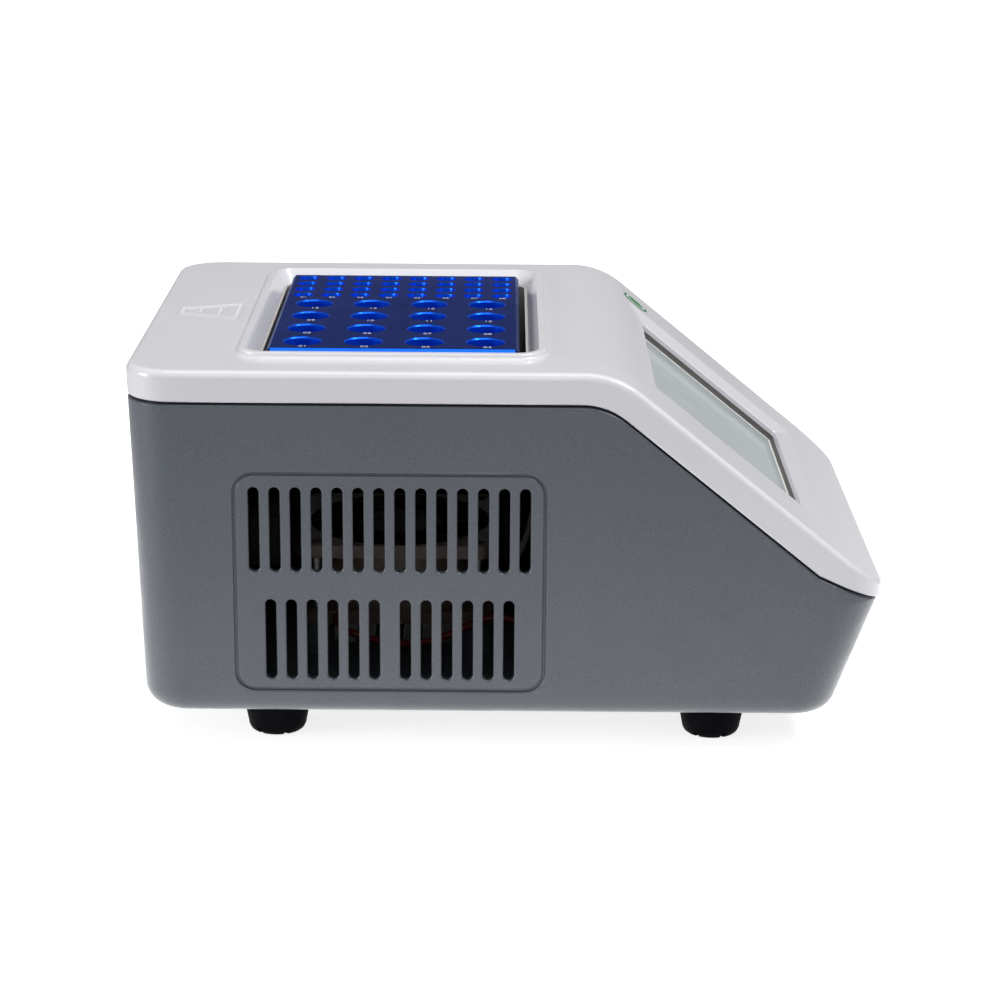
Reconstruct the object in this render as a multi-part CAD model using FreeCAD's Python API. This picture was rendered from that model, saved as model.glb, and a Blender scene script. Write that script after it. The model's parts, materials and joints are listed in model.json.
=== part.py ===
import FreeCAD, Part
import math
import os

# Dry bath incubator, millimetres, +Z up, front towards -Y, standing on Z = 0.
# The origin is at the middle of the footprint.

# Outer form of the casing
HALF_WIDTH = 81.6
REAR_Y = 109.2
FRONT_Y = -109.2
BASE_Z = 10.45
LIP_Z = 46.1
LIP_PROUD = 1.2
ROOF_Z = 114.2
SLOPE_Y = -31.0
SLOPE_DEG = 39.1
ROOF_ARC_R = 26.0
CORNER_R = 14.0
SIDE_DRAFT_DEG = 1.0
REAR_DRAFT_DEG = 1.85
FRONT_LEAN_DEG = 20.3
TOP_EDGE_R = 2.0
BASE_EDGE_R = 6.8
COVER_WALL = 3.0
CASE_WALL = 2.5

# Seam between cover and case
BAND_FLAT = 9.1
BAND_SLOPE = 8.65
SEAM_ARC_R = 20.0
SEAM_KINK_Y = -90.5
SEAM_GAP = 0.8
SEAM_EDGE = 0.35
TONGUE_H = 3.5
TONGUE_T = 1.5
LEDGE_H = 4.0
FIT = 0.3
RUN_FIT = 0.05
TOUCH = 0.01

# Heating block and its wells
BLOCK_Y = 33.5
BLOCK_X_LEN = 111.0
BLOCK_Y_LEN = 74.0
BLOCK_H = 36.0
BLOCK_PROUD = 0.8
BLOCK_CHAMFER = 1.0
BIG_R = 5.45
BIG_PITCH = 18.0
BIG_ROWS = 4
BIG_EDGE = 10.6
BIG_STRAIGHT = 18.0
BIG_CONE = 14.0
BIG_TIP_R = 2.4
SMALL_R = 3.2
SMALL_PITCH = 9.0
SMALL_ROWS = 4
SMALL_COLUMNS = 8
SMALL_EDGE = 5.9
SMALL_DEPTH = 16.0
SMALL_TIP_R = 0.8
WELL_EDGE = 0.4

# Rim round the well, and the liner below it
RIM_X = 64.3
RIM_Y = 44.9
RIM_H = 1.6
RIM_TOP_W = 2.2
RIM_R = 9.0
RIM_EDGE_R = 0.6
RIM_ROOT_R = 1.2
LINER_GAP = 2.0
LINER_WALL = 2.5
LINER_SHOW = 0.7
LINER_R = 3.5

# Heater under the block
PLATE_T = 3.0
PLATE_EAR = 9.0
MAT_T = 1.5
MAT_MARGIN = 4.0
BOSS_R = 4.0
BOSS_X = 50.0
CUTOUT_R = 8.0
CUTOUT_H = 7.0
CUTOUT_FLANGE_R = 11.0
CUTOUT_FLANGE_T = 1.0
CUTOUT_X = 12.0
TAB = (6.3, 0.8, 6.0)
PROBE = (7.0, 16.0, 4.0)
PROBE_X = -22.0
PROBE_DY = -20.0

# Screws
M3_R = 1.5
M3_HEAD_R = 2.8
M3_HEAD_H = 2.2
M4_R = 2.0
M4_HEAD_R = 3.6
M4_HEAD_H = 2.6
SCREW_CLEAR = 0.15

# Vent panel in both side walls
VENT_PITCH = 6.0
VENT_W = 3.2
VENT_UPPER = (54.7, 80.15)
VENT_LOWER = (21.9, 46.35)
VENT_UPPER_COUNT = 14
VENT_LOWER_HALF = 6
VENT_LOWER_GAP = 9.0
VENT_EDGE = 0.35
PANEL_Y_LEN = 90.1
PANEL_Z = (18.45, 84.45)
PANEL_R = 6.0
PANEL_GROOVE_W = 0.7
PANEL_GROOVE_T = 0.8

# Fan lying flat under the heater
FAN_SIZE = 60.0
FAN_T = 25.0
FAN_Z = 22.5
FAN_BORE_R = 28.5
FAN_FLANGE_T = 4.0
FAN_CORNER_R = 4.0
FAN_HOLE_PITCH = 50.0
FAN_HUB_R = 13.5
FAN_BLADES = 7
FAN_BLADE_T = 1.3
FAN_BLADE_TILT_DEG = 50.0
FAN_BLADE_LEN = 26.0
FAN_TIP_GAP = 0.7
FAN_HUB_GAP = 1.0
FAN_MOTOR_T = 5.0
FAN_STRUT_W = 3.5
FAN_SHAFT_R = 1.5
FAN_POST_R = 5.5
FAN_SCREW_LEN = 29.0
INTAKE_COUNT = 8
INTAKE_LEN = 40.0
INTAKE_W = 3.2

# Display under the window in the slope
WINDOW_X = 89.0
WINDOW_S = 57.4
WINDOW_MID_S = 46.9
WINDOW_EDGE = 0.35
INSET_X = 109.0
INSET_S = (11.5, 81.5)
INSET_T = 1.35
INSET_FLAT = 0.6
GASKET_RIM = 4.0
GASKET_T = 1.8
GLASS_T = 1.1
LCD_T = 4.5
LCD_MARGIN = 1.5
BOARD_T = 1.6
DISPLAY_BOARD_X = 114.0
DISPLAY_BOARD_S = 72.0
DISPLAY_HOLE_INSET = 4.0
DISPLAY_BOSS_R = 3.2
BUZZER_R = 6.0
BUZZER_H = 7.0
BUZZER_HOLE_R = 1.2
BUZZER_X = 34.0
BUZZER_S = 28.0
RIBBON_W = 14.0
RIBBON_T = 1.0
RIBBON_S = 60.0
RIBBON_Y = -76.0
RIBBON_SOCKET_H = 4.0
RIBBON_STEPS = 6
RIBBON_BOW = 0.33

# Power inlet, rocker and fuse drawer in the rear wall
INLET_X = 30.0
INLET_Z = 47.0
INLET_FLANGE = (50.0, 58.0, 3.0)
INLET_BODY = (28.0, 47.0, 24.0)
INLET_HOLE_PITCH = 40.0
PAD_IN = 2.4
PAD_WALL = 3.0
SOCKET = (24.2, 16.2, 16.0)
SOCKET_DZ = -12.5
SOCKET_CORNER = 4.0
PIN = (2.0, 4.0, 13.0)
PIN_DX = 7.0
PIN_DZ = 2.0
PIN_TAIL = 8.0
DRAWER = (22.0, 6.0, 20.0)
DRAWER_DZ = 0.6
DRAWER_GRIP = 1.2
FUSE_R = 2.5
FUSE_LEN = 20.0
ROCKER = (20.4, 12.8)
ROCKER_DZ = 13.6
ROCKER_TILT_DEG = 8.0
ROCKER_WAIST = 1.2
ROCKER_SIDE = 3.0
ROCKER_BELLY = 6.0
ROCKER_PIVOT_IN = 4.0
ROCKER_ROOM = 1.0
ROCKER_PIN_R = 1.2
ROCKER_PIN_LEN = 1.2

# Boards inside the case
POWER_BOARD = (116.0, 66.0)
POWER_BOARD_Y = -53.0
POWER_BOARD_LIFT = 6.0
POWER_HOLE_INSET = 5.0
CONTROL_BOARD = (83.0, 48.5)
CONTROL_BOARD_IN = 15.6
CONTROL_BOARD_Z = 15.5
CONTROL_HOLE_Z = (18.6, 51.2)
CONTROL_HOLE_INSET = 5.0
STANDOFF_R = 3.0
TRANSFORMER = (36.0, 32.0, 26.0)
TRANSFORMER_AT = (-32.0, -50.0)
WINDING_X = 24.0
BOBBIN_Y = 25.6
CAPACITOR_R = 8.0
CAPACITOR_H = 26.0
CAPACITOR_X = (4.0, 22.0)
CAPACITOR_Y = -44.0
SINK_LEN = 34.0
SINK_H = 24.0
SINK_T = 2.0
SINK_FINS = 5
SINK_FIN_LEN = 9.0
SINK_X = 36.0
SINK_Y = -62.0
CONNECTOR = (16.0, 8.0, 9.0)
CONNECTOR_X = (-38.0, -19.0, 0.0, 38.0)
CONNECTOR_EDGE = 4.0
TRANSISTOR = (4.4, 10.0, 16.0)
TRANSISTOR_DY = 8.5
CHIP = (1.6, 14.0, 14.0)
RELAY = (13.0, 22.0, 16.0)
CHIP_DY = -14.0
RELAY_DY = 14.0

# Feet and case screws
FOOT_SIDE_IN = 20.6
FOOT_REAR_IN = 41.2
FOOT_FRONT_IN = 47.4
FOOT_TOP_R = 9.95
FOOT_BASE_R = 8.4
FOOT_EDGE_R = 2.2
FOOT_RECESS_R = 3.6
FOOT_SEAT_T = 6.0
FOOT_SCREW_LEN = 8.0
FOOT_BOSS_R = 4.0
POST_SIDE_IN = 15.6
POST_REAR_IN = 18.2
POST_FRONT_IN = 29.2
POST_R = 5.0
POST_BORE_R = 3.8
POST_SEAT = 5.0
POST_REAR_TOP = 60.0
POST_FRONT_TOP = 40.0

# Relief and sticker on the cover
RELIEF_Y = (83.2, 101.2)
RELIEF_X = (11.0, 4.0)
RELIEF_W = 0.8
RELIEF_H = 0.3
STICKER_R = 5.0
STICKER_T = 0.15
STICKER_X = 63.0
STICKER_S = 14.8

# Leads
FAN_LEAD_R = 1.1
HEATER_LEAD_R = 1.6
PROBE_LEAD_R = 1.0
MAINS_LEAD_R = 1.8
LEAD_RUN_IN = 12.0
BEND_SHARE = 0.45

# Worked out from the values above
SLOPE = math.radians(SLOPE_DEG)
BLOCK_TOP = ROOF_Z + BLOCK_PROUD
BLOCK_BASE = BLOCK_TOP - BLOCK_H
RIM_TOP = ROOF_Z + RIM_H
ROOF_INSIDE = ROOF_Z - COVER_WALL
PLATE_BASE = BLOCK_BASE - PLATE_T
MAT_BASE = PLATE_BASE - MAT_T
BOARD_DEPTH = COVER_WALL + GASKET_T + GLASS_T + LCD_T
FLOOR_Z = BASE_Z + CASE_WALL
FOOT_RECESS_H = BASE_Z - FOOT_SEAT_T
FOOT_SCREW_TOP = FOOT_RECESS_H + FOOT_SCREW_LEN
POWER_BOARD_TOP = FLOOR_Z + POWER_BOARD_LIFT + BOARD_T
PAD_Y = REAR_Y - PAD_IN
INLET_FACE_Y = PAD_Y + INLET_FLANGE[2]
LINER_X = BLOCK_X_LEN / 2 + LINER_GAP
LINER_Y = BLOCK_Y_LEN / 2 + LINER_GAP
PLATE_X = LINER_X + LINER_WALL
PLATE_Y = LINER_Y + LINER_WALL + PLATE_EAR
BOSS_DY = PLATE_Y - BOSS_R
BIG_X0 = -BLOCK_X_LEN / 2 + BIG_EDGE
SMALL_X0 = BLOCK_X_LEN / 2 - SMALL_EDGE - (SMALL_ROWS - 1) * SMALL_PITCH
FOOT_X = HALF_WIDTH - FOOT_SIDE_IN
FOOT_REAR_Y = REAR_Y - FOOT_REAR_IN
FOOT_FRONT_Y = FRONT_Y + FOOT_FRONT_IN
POST_X = HALF_WIDTH - POST_SIDE_IN
POST_REAR_Y = REAR_Y - POST_REAR_IN
POST_FRONT_Y = FRONT_Y + POST_FRONT_IN
CONTROL_BOARD_X = HALF_WIDTH - CONTROL_BOARD_IN
FAR = 160.0
CUT = 1.0


def vec(x, y, z):
    return FreeCAD.Vector(x, y, z)


def box(x_lo, x_hi, y_lo, y_hi, z_lo, z_hi):
    return Part.makeBox(x_hi - x_lo, y_hi - y_lo, z_hi - z_lo, vec(x_lo, y_lo, z_lo))


def block_at(x, y, z_lo, size):
    return box(x - size[0] / 2, x + size[0] / 2, y - size[1] / 2, y + size[1] / 2, z_lo, z_lo + size[2])


def rod(x, y, z_lo, z_hi, r):
    return Part.makeCylinder(r, z_hi - z_lo, vec(x, y, z_lo))


def rod_along_y(x, z, y_lo, y_hi, r):
    return Part.makeCylinder(r, y_hi - y_lo, vec(x, y_lo, z), vec(0, 1, 0))


def bar_along_y(x, z, size, y_lo, y_hi):
    return box(x - size[0] / 2, x + size[0] / 2, y_lo, y_hi, z - size[1] / 2, z + size[1] / 2)


def tube(x, y, z_lo, z_hi, r_out, r_in):
    return rod(x, y, z_lo, z_hi, r_out).cut(rod(x, y, z_lo - CUT, z_hi + CUT, r_in))


def fused(shapes):
    return shapes[0].multiFuse(shapes[1:]).removeSplitter() if len(shapes) > 1 else shapes[0]


def edges_where(shape, test):
    found = []
    for edge in shape.Edges:
        first, last = edge.ParameterRange
        points = [edge.valueAt(first + (last - first) * share) for share in (0.02, 0.5, 0.98)]
        if all(test(point) for point in points):
            found.append(edge)
    return found


# Edges that lie on the skins of all the given solids
def edges_on(shape, solids):
    skins = [solid.Shells[0] for solid in solids]
    return edges_where(shape, lambda p: all(Part.Vertex(p).distToShape(skin)[0] < TOUCH for skin in skins))


def save(name, shape):
    shape.exportStep("parts/" + name + ".step")
    print(name, len(shape.Solids), round(shape.Volume), shape.isValid())


# A rounded rectangle between two corners, as a wire at one height
def rounded_wire(x_lo, x_hi, y_lo, y_hi, r, z):
    bow = r * (1 - math.sqrt(0.5))
    corners = ((x_hi, y_hi, -1, -1), (x_lo, y_hi, 1, -1), (x_lo, y_lo, 1, 1), (x_hi, y_lo, -1, 1))
    stations = []
    for count, (x, y, to_x, to_y) in enumerate(corners):
        on_y_side = vec(x + to_x * r, y, z)
        on_x_side = vec(x, y + to_y * r, z)
        middle = vec(x + to_x * bow, y + to_y * bow, z)
        ends = (on_x_side, on_y_side) if count % 2 == 0 else (on_y_side, on_x_side)
        stations.append((ends[0], middle, ends[1]))
    edges = []
    for count, (start, middle, end) in enumerate(stations):
        edges.append(Part.Arc(start, middle, end).toShape())
        following = stations[(count + 1) % len(stations)]
        edges.append(Part.LineSegment(end, following[0]).toShape())
    return Part.Wire(edges)


def rounded_block(half_x, half_y, r, z_lo, z_hi, x=0.0, y=0.0):
    wire = rounded_wire(x - half_x, x + half_x, y - half_y, y + half_y, r, z_lo)
    return Part.Face(wire).extrude(vec(0, 0, z_hi - z_lo))


# A flat outline in the Y-Z plane, pushed along X
def side_prism(edges, x_lo, x_hi):
    face = Part.Face(Part.Wire(edges))
    face.translate(vec(x_lo, 0, 0))
    return face.extrude(vec(x_hi - x_lo, 0, 0))


def polygon_edges(points):
    closed = list(points) + [points[0]]
    return [Part.LineSegment(closed[k], closed[k + 1]).toShape() for k in range(len(points))]


# Everything below a line that runs flat, bends through an arc and goes down the slope
def below_line(flat_z, slope_in, arc_r, kinked):
    normal = vec(0, -math.sin(SLOPE), math.cos(SLOPE))
    along = vec(0, -math.cos(SLOPE), -math.sin(SLOPE))
    sunk = vec(0, SLOPE_Y, ROOF_Z) - normal * slope_in
    corner_y = sunk.y - (sunk.z - flat_z) / math.tan(SLOPE)
    centre = vec(0, corner_y + arc_r * math.tan(SLOPE / 2), flat_z - arc_r)
    start = centre + vec(0, 0, arc_r)
    middle = centre + vec(0, -math.sin(SLOPE / 2), math.cos(SLOPE / 2)) * arc_r
    end = centre + normal * arc_r
    lowered = [end]
    if kinked:
        kink = end + along * ((end.y - SEAM_KINK_Y) / math.cos(SLOPE))
        to_lip = vec(0, FRONT_Y, LIP_Z) - kink
        lowered.append(kink)
        lowered.append(kink + to_lip * ((kink.y + FAR) / (kink.y - FRONT_Y)))
    else:
        lowered.append(end + along * ((end.y + FAR) / math.cos(SLOPE)))
    lowered += [vec(0, -FAR, -FAR), vec(0, FAR, -FAR), vec(0, FAR, flat_z), start]
    edges = [Part.Arc(start, middle, end).toShape()]
    for k in range(len(lowered) - 1):
        edges.append(Part.LineSegment(lowered[k], lowered[k + 1]).toShape())
    return side_prism(edges, -FAR, FAR)


def below_roof(inset):
    return below_line(ROOF_Z - inset, inset, ROOF_ARC_R - inset, False)


def below_seam(rise):
    solid = below_line(ROOF_Z - BAND_FLAT, BAND_SLOPE, SEAM_ARC_R, True)
    solid.translate(vec(0, 0, rise))
    return solid


# The casing's plan at one height, drawn in by a wall thickness
def plan_wire(z, inset, front):
    seam_z = ROOF_Z - BAND_FLAT
    half_x = HALF_WIDTH - (seam_z - z) * math.tan(math.radians(SIDE_DRAFT_DEG)) - inset
    rear = REAR_Y - (seam_z - z) * math.tan(math.radians(REAR_DRAFT_DEG)) - inset
    return rounded_wire(-half_x, half_x, front + inset, rear, CORNER_R - inset, z)


def plain_form(inset):
    lean = math.tan(math.radians(FRONT_LEAN_DEG))
    heights = (BASE_Z + inset, LIP_Z, ROOF_Z + CUT)
    wires = [plan_wire(z, inset, FRONT_Y + max(0.0, LIP_Z - z) * lean) for z in heights]
    return Part.makeLoft(wires, True, True).common(below_roof(inset))


# The cover's outer form, whose lip stands proud of the case at the front
def cover_form():
    wires = [plan_wire(z, 0.0, FRONT_Y - LIP_PROUD) for z in (BASE_Z, ROOF_Z + CUT)]
    return Part.makeLoft(wires, True, True).common(below_roof(0.0))


def rounded_base_form(inset):
    form = plain_form(inset)
    base = BASE_Z + inset
    edges = edges_where(form, lambda p: abs(p.z - base) < TOUCH)
    return form.makeFillet(BASE_EDGE_R - inset, edges)


# Height of the roof line above a given Y, for finding its edges
def roof_height(y):
    arc_start = SLOPE_Y + ROOF_ARC_R * math.tan(SLOPE / 2)
    if y >= arc_start:
        return ROOF_Z
    if y >= arc_start - ROOF_ARC_R * math.sin(SLOPE):
        return ROOF_Z - ROOF_ARC_R + math.sqrt(ROOF_ARC_R ** 2 - (arc_start - y) ** 2)
    return ROOF_Z - (SLOPE_Y - y) * math.tan(SLOPE)


def with_rounded_top(form):
    half_x = HALF_WIDTH - CORNER_R

    def on_roof_edge(p):
        on_roof = abs(p.z - roof_height(p.y)) < TOUCH
        inner = abs(p.x) < half_x and FRONT_Y + CORNER_R < p.y < REAR_Y - CORNER_R
        return on_roof and not inner

    return form.makeFillet(TOP_EDGE_R, edges_where(form, on_roof_edge))


# Places on the slope: X, distance down the slope from its top corner, depth below its surface
SLOPE_FRAME = FreeCAD.Placement(vec(0, SLOPE_Y, ROOF_Z), FreeCAD.Rotation(vec(1, 0, 0), 180 + SLOPE_DEG))


def on_slope(shape):
    placed = shape.copy()
    placed.Placement = SLOPE_FRAME.multiply(placed.Placement)
    return placed


def slope_plate(len_x, len_s, depth, thick, r=1.0):
    return on_slope(rounded_block(len_x / 2, len_s / 2, r, depth, depth + thick, 0.0, WINDOW_MID_S))


def display_holes():
    dx = DISPLAY_BOARD_X / 2 - DISPLAY_HOLE_INSET
    ds = DISPLAY_BOARD_S / 2 - DISPLAY_HOLE_INSET
    return [(sx * dx, WINDOW_MID_S + ss * ds) for sx in (-1, 1) for ss in (-1, 1)]


def post_places():
    places = []
    for side in (-1, 1):
        places.append((side * POST_X, POST_REAR_Y, POST_REAR_TOP))
        places.append((side * POST_X, POST_FRONT_Y, POST_FRONT_TOP))
    return places


def boss_places():
    return [(sx * BOSS_X, BLOCK_Y + sy * BOSS_DY) for sx in (-1, 1) for sy in (-1, 1)]


def foot_places():
    places = {}
    for side, side_name in ((-1, "left"), (1, "right")):
        places["foot_front_" + side_name] = (side * FOOT_X, FOOT_FRONT_Y)
        places["foot_rear_" + side_name] = (side * FOOT_X, FOOT_REAR_Y)
    return places


def fan_holes():
    half = FAN_HOLE_PITCH / 2
    return [(sx * half, BLOCK_Y + sy * half) for sx in (-1, 1) for sy in (-1, 1)]


def power_board_holes():
    dx = POWER_BOARD[0] / 2 - POWER_HOLE_INSET
    dy = POWER_BOARD[1] / 2 - POWER_HOLE_INSET
    return [(sx * dx, POWER_BOARD_Y + sy * dy) for sx in (-1, 1) for sy in (-1, 1)]


def control_board_holes():
    dy = CONTROL_BOARD[0] / 2 - CONTROL_HOLE_INSET
    return [(BLOCK_Y + sy * dy, z) for sy in (-1, 1) for z in CONTROL_HOLE_Z]


# One screw pointing up: head below the seat, shank above it
def screw_up(x, y, seat_z, length, shank_r, head_r, head_h):
    head = rod(x, y, seat_z - head_h, seat_z, head_r)
    socket = rod(x, y, seat_z - head_h - CUT, seat_z - head_h / 2, head_r / 2)
    return head.fuse(rod(x, y, seat_z - CUT / 2, seat_z + length, shank_r)).cut(socket).removeSplitter()


# A slot with round ends, long enough to pass through both side walls
def vent_slot(y, z_lo, z_hi, width, x_lo=-FAR, x_hi=FAR):
    r = width / 2
    top = vec(0, y, z_hi)
    base = vec(0, y, z_lo)
    edges = [
        Part.LineSegment(vec(0, y + r, z_lo + r), vec(0, y + r, z_hi - r)).toShape(),
        Part.Arc(vec(0, y + r, z_hi - r), top, vec(0, y - r, z_hi - r)).toShape(),
        Part.LineSegment(vec(0, y - r, z_hi - r), vec(0, y - r, z_lo + r)).toShape(),
        Part.Arc(vec(0, y - r, z_lo + r), base, vec(0, y + r, z_lo + r)).toShape(),
    ]
    return side_prism(edges, x_lo, x_hi)


def vent_places():
    places = []
    for k in range(VENT_UPPER_COUNT):
        places.append((BLOCK_Y + (k - (VENT_UPPER_COUNT - 1) / 2) * VENT_PITCH, VENT_UPPER))
    for side in (-1, 1):
        for k in range(VENT_LOWER_HALF):
            places.append((BLOCK_Y + side * (VENT_LOWER_GAP / 2 + k * VENT_PITCH), VENT_LOWER))
    return places


# Ring-shaped groove round the vents on both side walls
def panel_groove():
    def outline(inset):
        half = PANEL_Y_LEN / 2 - inset
        wire = rounded_wire(PANEL_Z[0] + inset, PANEL_Z[1] - inset, -half, half, PANEL_R - inset, -FAR)
        solid = Part.Face(wire).extrude(vec(0, 0, 2 * FAR))
        solid.rotate(vec(0, 0, 0), vec(0, 1, 0), -90)
        solid.translate(vec(0, BLOCK_Y, 0))
        return solid

    ring = outline(0.0).cut(outline(PANEL_GROOVE_W))
    return ring.cut(plain_form(PANEL_GROOVE_T))


def make_case():
    outer, under_seam = rounded_base_form(0.0), below_seam(-SEAM_GAP)
    shell = outer.common(under_seam)
    shell = shell.makeChamfer(SEAM_EDGE, edges_on(shell, (outer, under_seam)))
    inside = rounded_base_form(CASE_WALL)
    shell = shell.cut(inside)

    tongue_in = COVER_WALL + FIT + TONGUE_T
    core = plain_form(tongue_in)
    under = below_seam(-LEDGE_H)
    ledge = plain_form(CASE_WALL / 2).cut(core).common(under_seam).cut(under)
    tongue = plain_form(COVER_WALL + FIT).cut(core).common(below_seam(TONGUE_H)).cut(under)

    posts = []
    for x, y, top in post_places():
        posts.append(rod(x, y, FLOOR_Z - CUT, top, POST_R))
    for x, y in foot_places().values():
        posts.append(rod(x, y, FLOOR_Z - CUT, FOOT_SCREW_TOP + 2 * CUT, FOOT_BOSS_R))
    for x, y in fan_holes():
        posts.append(rod(x, y, FLOOR_Z - CUT, FAN_Z, FAN_POST_R))
    for x, y in power_board_holes():
        posts.append(rod(x, y, FLOOR_Z - CUT, FLOOR_Z + POWER_BOARD_LIFT, STANDOFF_R))
    for y, z in control_board_holes():
        peg = Part.makeCylinder(STANDOFF_R, FAR, vec(CONTROL_BOARD_X + BOARD_T, y, z), vec(1, 0, 0))
        posts.append(peg.common(plain_form(CASE_WALL / 2)))
    pad_size = (INLET_FLANGE[0] + 2 * PAD_WALL, INLET_FLANGE[1] + 2 * PAD_WALL)
    pad = bar_along_y(INLET_X, INLET_Z, pad_size, PAD_Y - PAD_WALL, REAR_Y)
    posts.append(pad.common(plain_form(CASE_WALL / 2)))
    case = fused([shell, ledge, tongue] + posts)

    cuts = []
    for x, y, top in post_places():
        cuts.append(rod(x, y, BASE_Z - CUT, top - POST_SEAT, POST_BORE_R))
        cuts.append(rod(x, y, BASE_Z - CUT, top + CUT, M4_R + SCREW_CLEAR))
    for x, y in foot_places().values():
        cuts.append(rod(x, y, BASE_Z - CUT, FOOT_SCREW_TOP + CUT, M3_R + SCREW_CLEAR))
    for x, y in fan_holes():
        cuts.append(rod(x, y, BASE_Z - CUT, FLOOR_Z + M4_HEAD_H, M4_HEAD_R + FIT))
        cuts.append(rod(x, y, BASE_Z - CUT, FAN_Z + CUT, M4_R + SCREW_CLEAR))
    for x, y in power_board_holes():
        cuts.append(rod(x, y, FLOOR_Z, FLOOR_Z + POWER_BOARD_LIFT + CUT, M3_R + SCREW_CLEAR))
    for y, z in control_board_holes():
        depth = POWER_BOARD_LIFT
        cuts.append(Part.makeCylinder(M3_R + SCREW_CLEAR, depth, vec(CONTROL_BOARD_X, y, z), vec(1, 0, 0)))
    for k in range(INTAKE_COUNT):
        y = BLOCK_Y + (k - (INTAKE_COUNT - 1) / 2) * VENT_PITCH
        half_w = INTAKE_W / 2
        low_z, high_z = BASE_Z - CUT, FLOOR_Z + CUT
        cuts.append(rounded_block(INTAKE_LEN / 2, half_w, half_w - TOUCH, low_z, high_z, 0.0, y))
    flange_room = (INLET_FLANGE[0] + 2 * FIT, INLET_FLANGE[1] + 2 * FIT)
    cuts.append(bar_along_y(INLET_X, INLET_Z, flange_room, PAD_Y, FAR))
    body_room = (INLET_BODY[0] + 2 * FIT, INLET_BODY[1] + 2 * FIT)
    cuts.append(bar_along_y(INLET_X, INLET_Z, body_room, PAD_Y - 2 * PAD_WALL, FAR))
    for side in (-1, 1):
        x = INLET_X + side * INLET_HOLE_PITCH / 2
        cuts.append(rod_along_y(x, INLET_Z, PAD_Y - 2 * PAD_WALL, PAD_Y + CUT, M3_R + SCREW_CLEAR))
    cuts.append(panel_groove())
    for y, span in vent_places():
        cuts.append(vent_slot(y, span[0], span[1], VENT_W))
    case = case.cut(Part.makeCompound(cuts)).removeSplitter()
    return case.makeChamfer(VENT_EDGE, edges_where(case, on_panel_edge))


# True on the mouth of a vent or of the groove, at the outer face of a side wall
def on_panel_edge(p):
    wall_x = HALF_WIDTH - (ROOF_Z - BAND_FLAT - p.z) * math.tan(math.radians(SIDE_DRAFT_DEG))
    inside_y = abs(p.y - BLOCK_Y) < PANEL_Y_LEN / 2 + TOUCH
    inside_z = PANEL_Z[0] - TOUCH < p.z < PANEL_Z[1] + TOUCH
    return abs(abs(p.x) - wall_x) < 2 * TOUCH and inside_y and inside_z


# Tapering throat of the well, from the rim's top down to the liner
def make_throat():
    top_x, top_y = RIM_X - RIM_TOP_W, RIM_Y - RIM_TOP_W
    low_x, low_y = LINER_X + LINER_SHOW, LINER_Y + LINER_SHOW
    top = rounded_wire(-top_x, top_x, BLOCK_Y - top_y, BLOCK_Y + top_y, RIM_R - RIM_TOP_W, RIM_TOP)
    low_r = LINER_R + LINER_SHOW
    low = rounded_wire(-low_x, low_x, BLOCK_Y - low_y, BLOCK_Y + low_y, low_r, ROOF_INSIDE)
    throat = Part.makeLoft([low, top], True, True)
    above = rounded_block(top_x, top_y, RIM_R - RIM_TOP_W, RIM_TOP, RIM_TOP + CUT, 0.0, BLOCK_Y)
    below = rounded_block(low_x, low_y, low_r, ROOF_INSIDE - CUT, ROOF_INSIDE, 0.0, BLOCK_Y)
    return fused([throat, above, below])


# Bevelled surround of the window, sinking from the slope to a narrow flat round the window
def make_inset():
    flat_x = WINDOW_X / 2 + INSET_FLAT
    flat_s = WINDOW_S / 2 + INSET_FLAT
    rings = []
    for depth in (-CUT, INSET_T):
        share = (INSET_T - depth) / INSET_T
        half_x = flat_x + (INSET_X / 2 - flat_x) * share
        low_s = WINDOW_MID_S - flat_s + (INSET_S[0] - WINDOW_MID_S + flat_s) * share
        high_s = WINDOW_MID_S + flat_s + (INSET_S[1] - WINDOW_MID_S - flat_s) * share
        corners = [(-half_x, low_s), (half_x, low_s), (half_x, high_s), (-half_x, high_s)]
        rings.append(Part.Wire(polygon_edges([vec(x, s, depth) for x, s in corners])))
    return on_slope(Part.makeLoft(rings, True, True))


# Low raised outline with two bars, behind the well
def make_relief():
    rear, front = RELIEF_Y[1], RELIEF_Y[0]
    z_lo = ROOF_Z - CUT
    corners = [(-RELIEF_X[0], front), (RELIEF_X[0], front), (RELIEF_X[1], rear), (-RELIEF_X[1], rear)]
    points = [vec(x, y, z_lo) for x, y in corners]
    outer = Part.Face(Part.Wire(polygon_edges(points)))
    inner = outer.makeOffset2D(-RELIEF_W)
    ring = outer.cut(inner).extrude(vec(0, 0, CUT + RELIEF_H))
    bars = []
    for share in (1 / 3, 2 / 3):
        y = front + (rear - front) * share
        half = (RELIEF_X[0] + (RELIEF_X[1] - RELIEF_X[0]) * share) / 2
        bars.append(rounded_block(half, RELIEF_W / 2, RELIEF_W / 2 - TOUCH, z_lo, ROOF_Z + RELIEF_H, 0.0, y))
    return [ring] + bars


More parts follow.
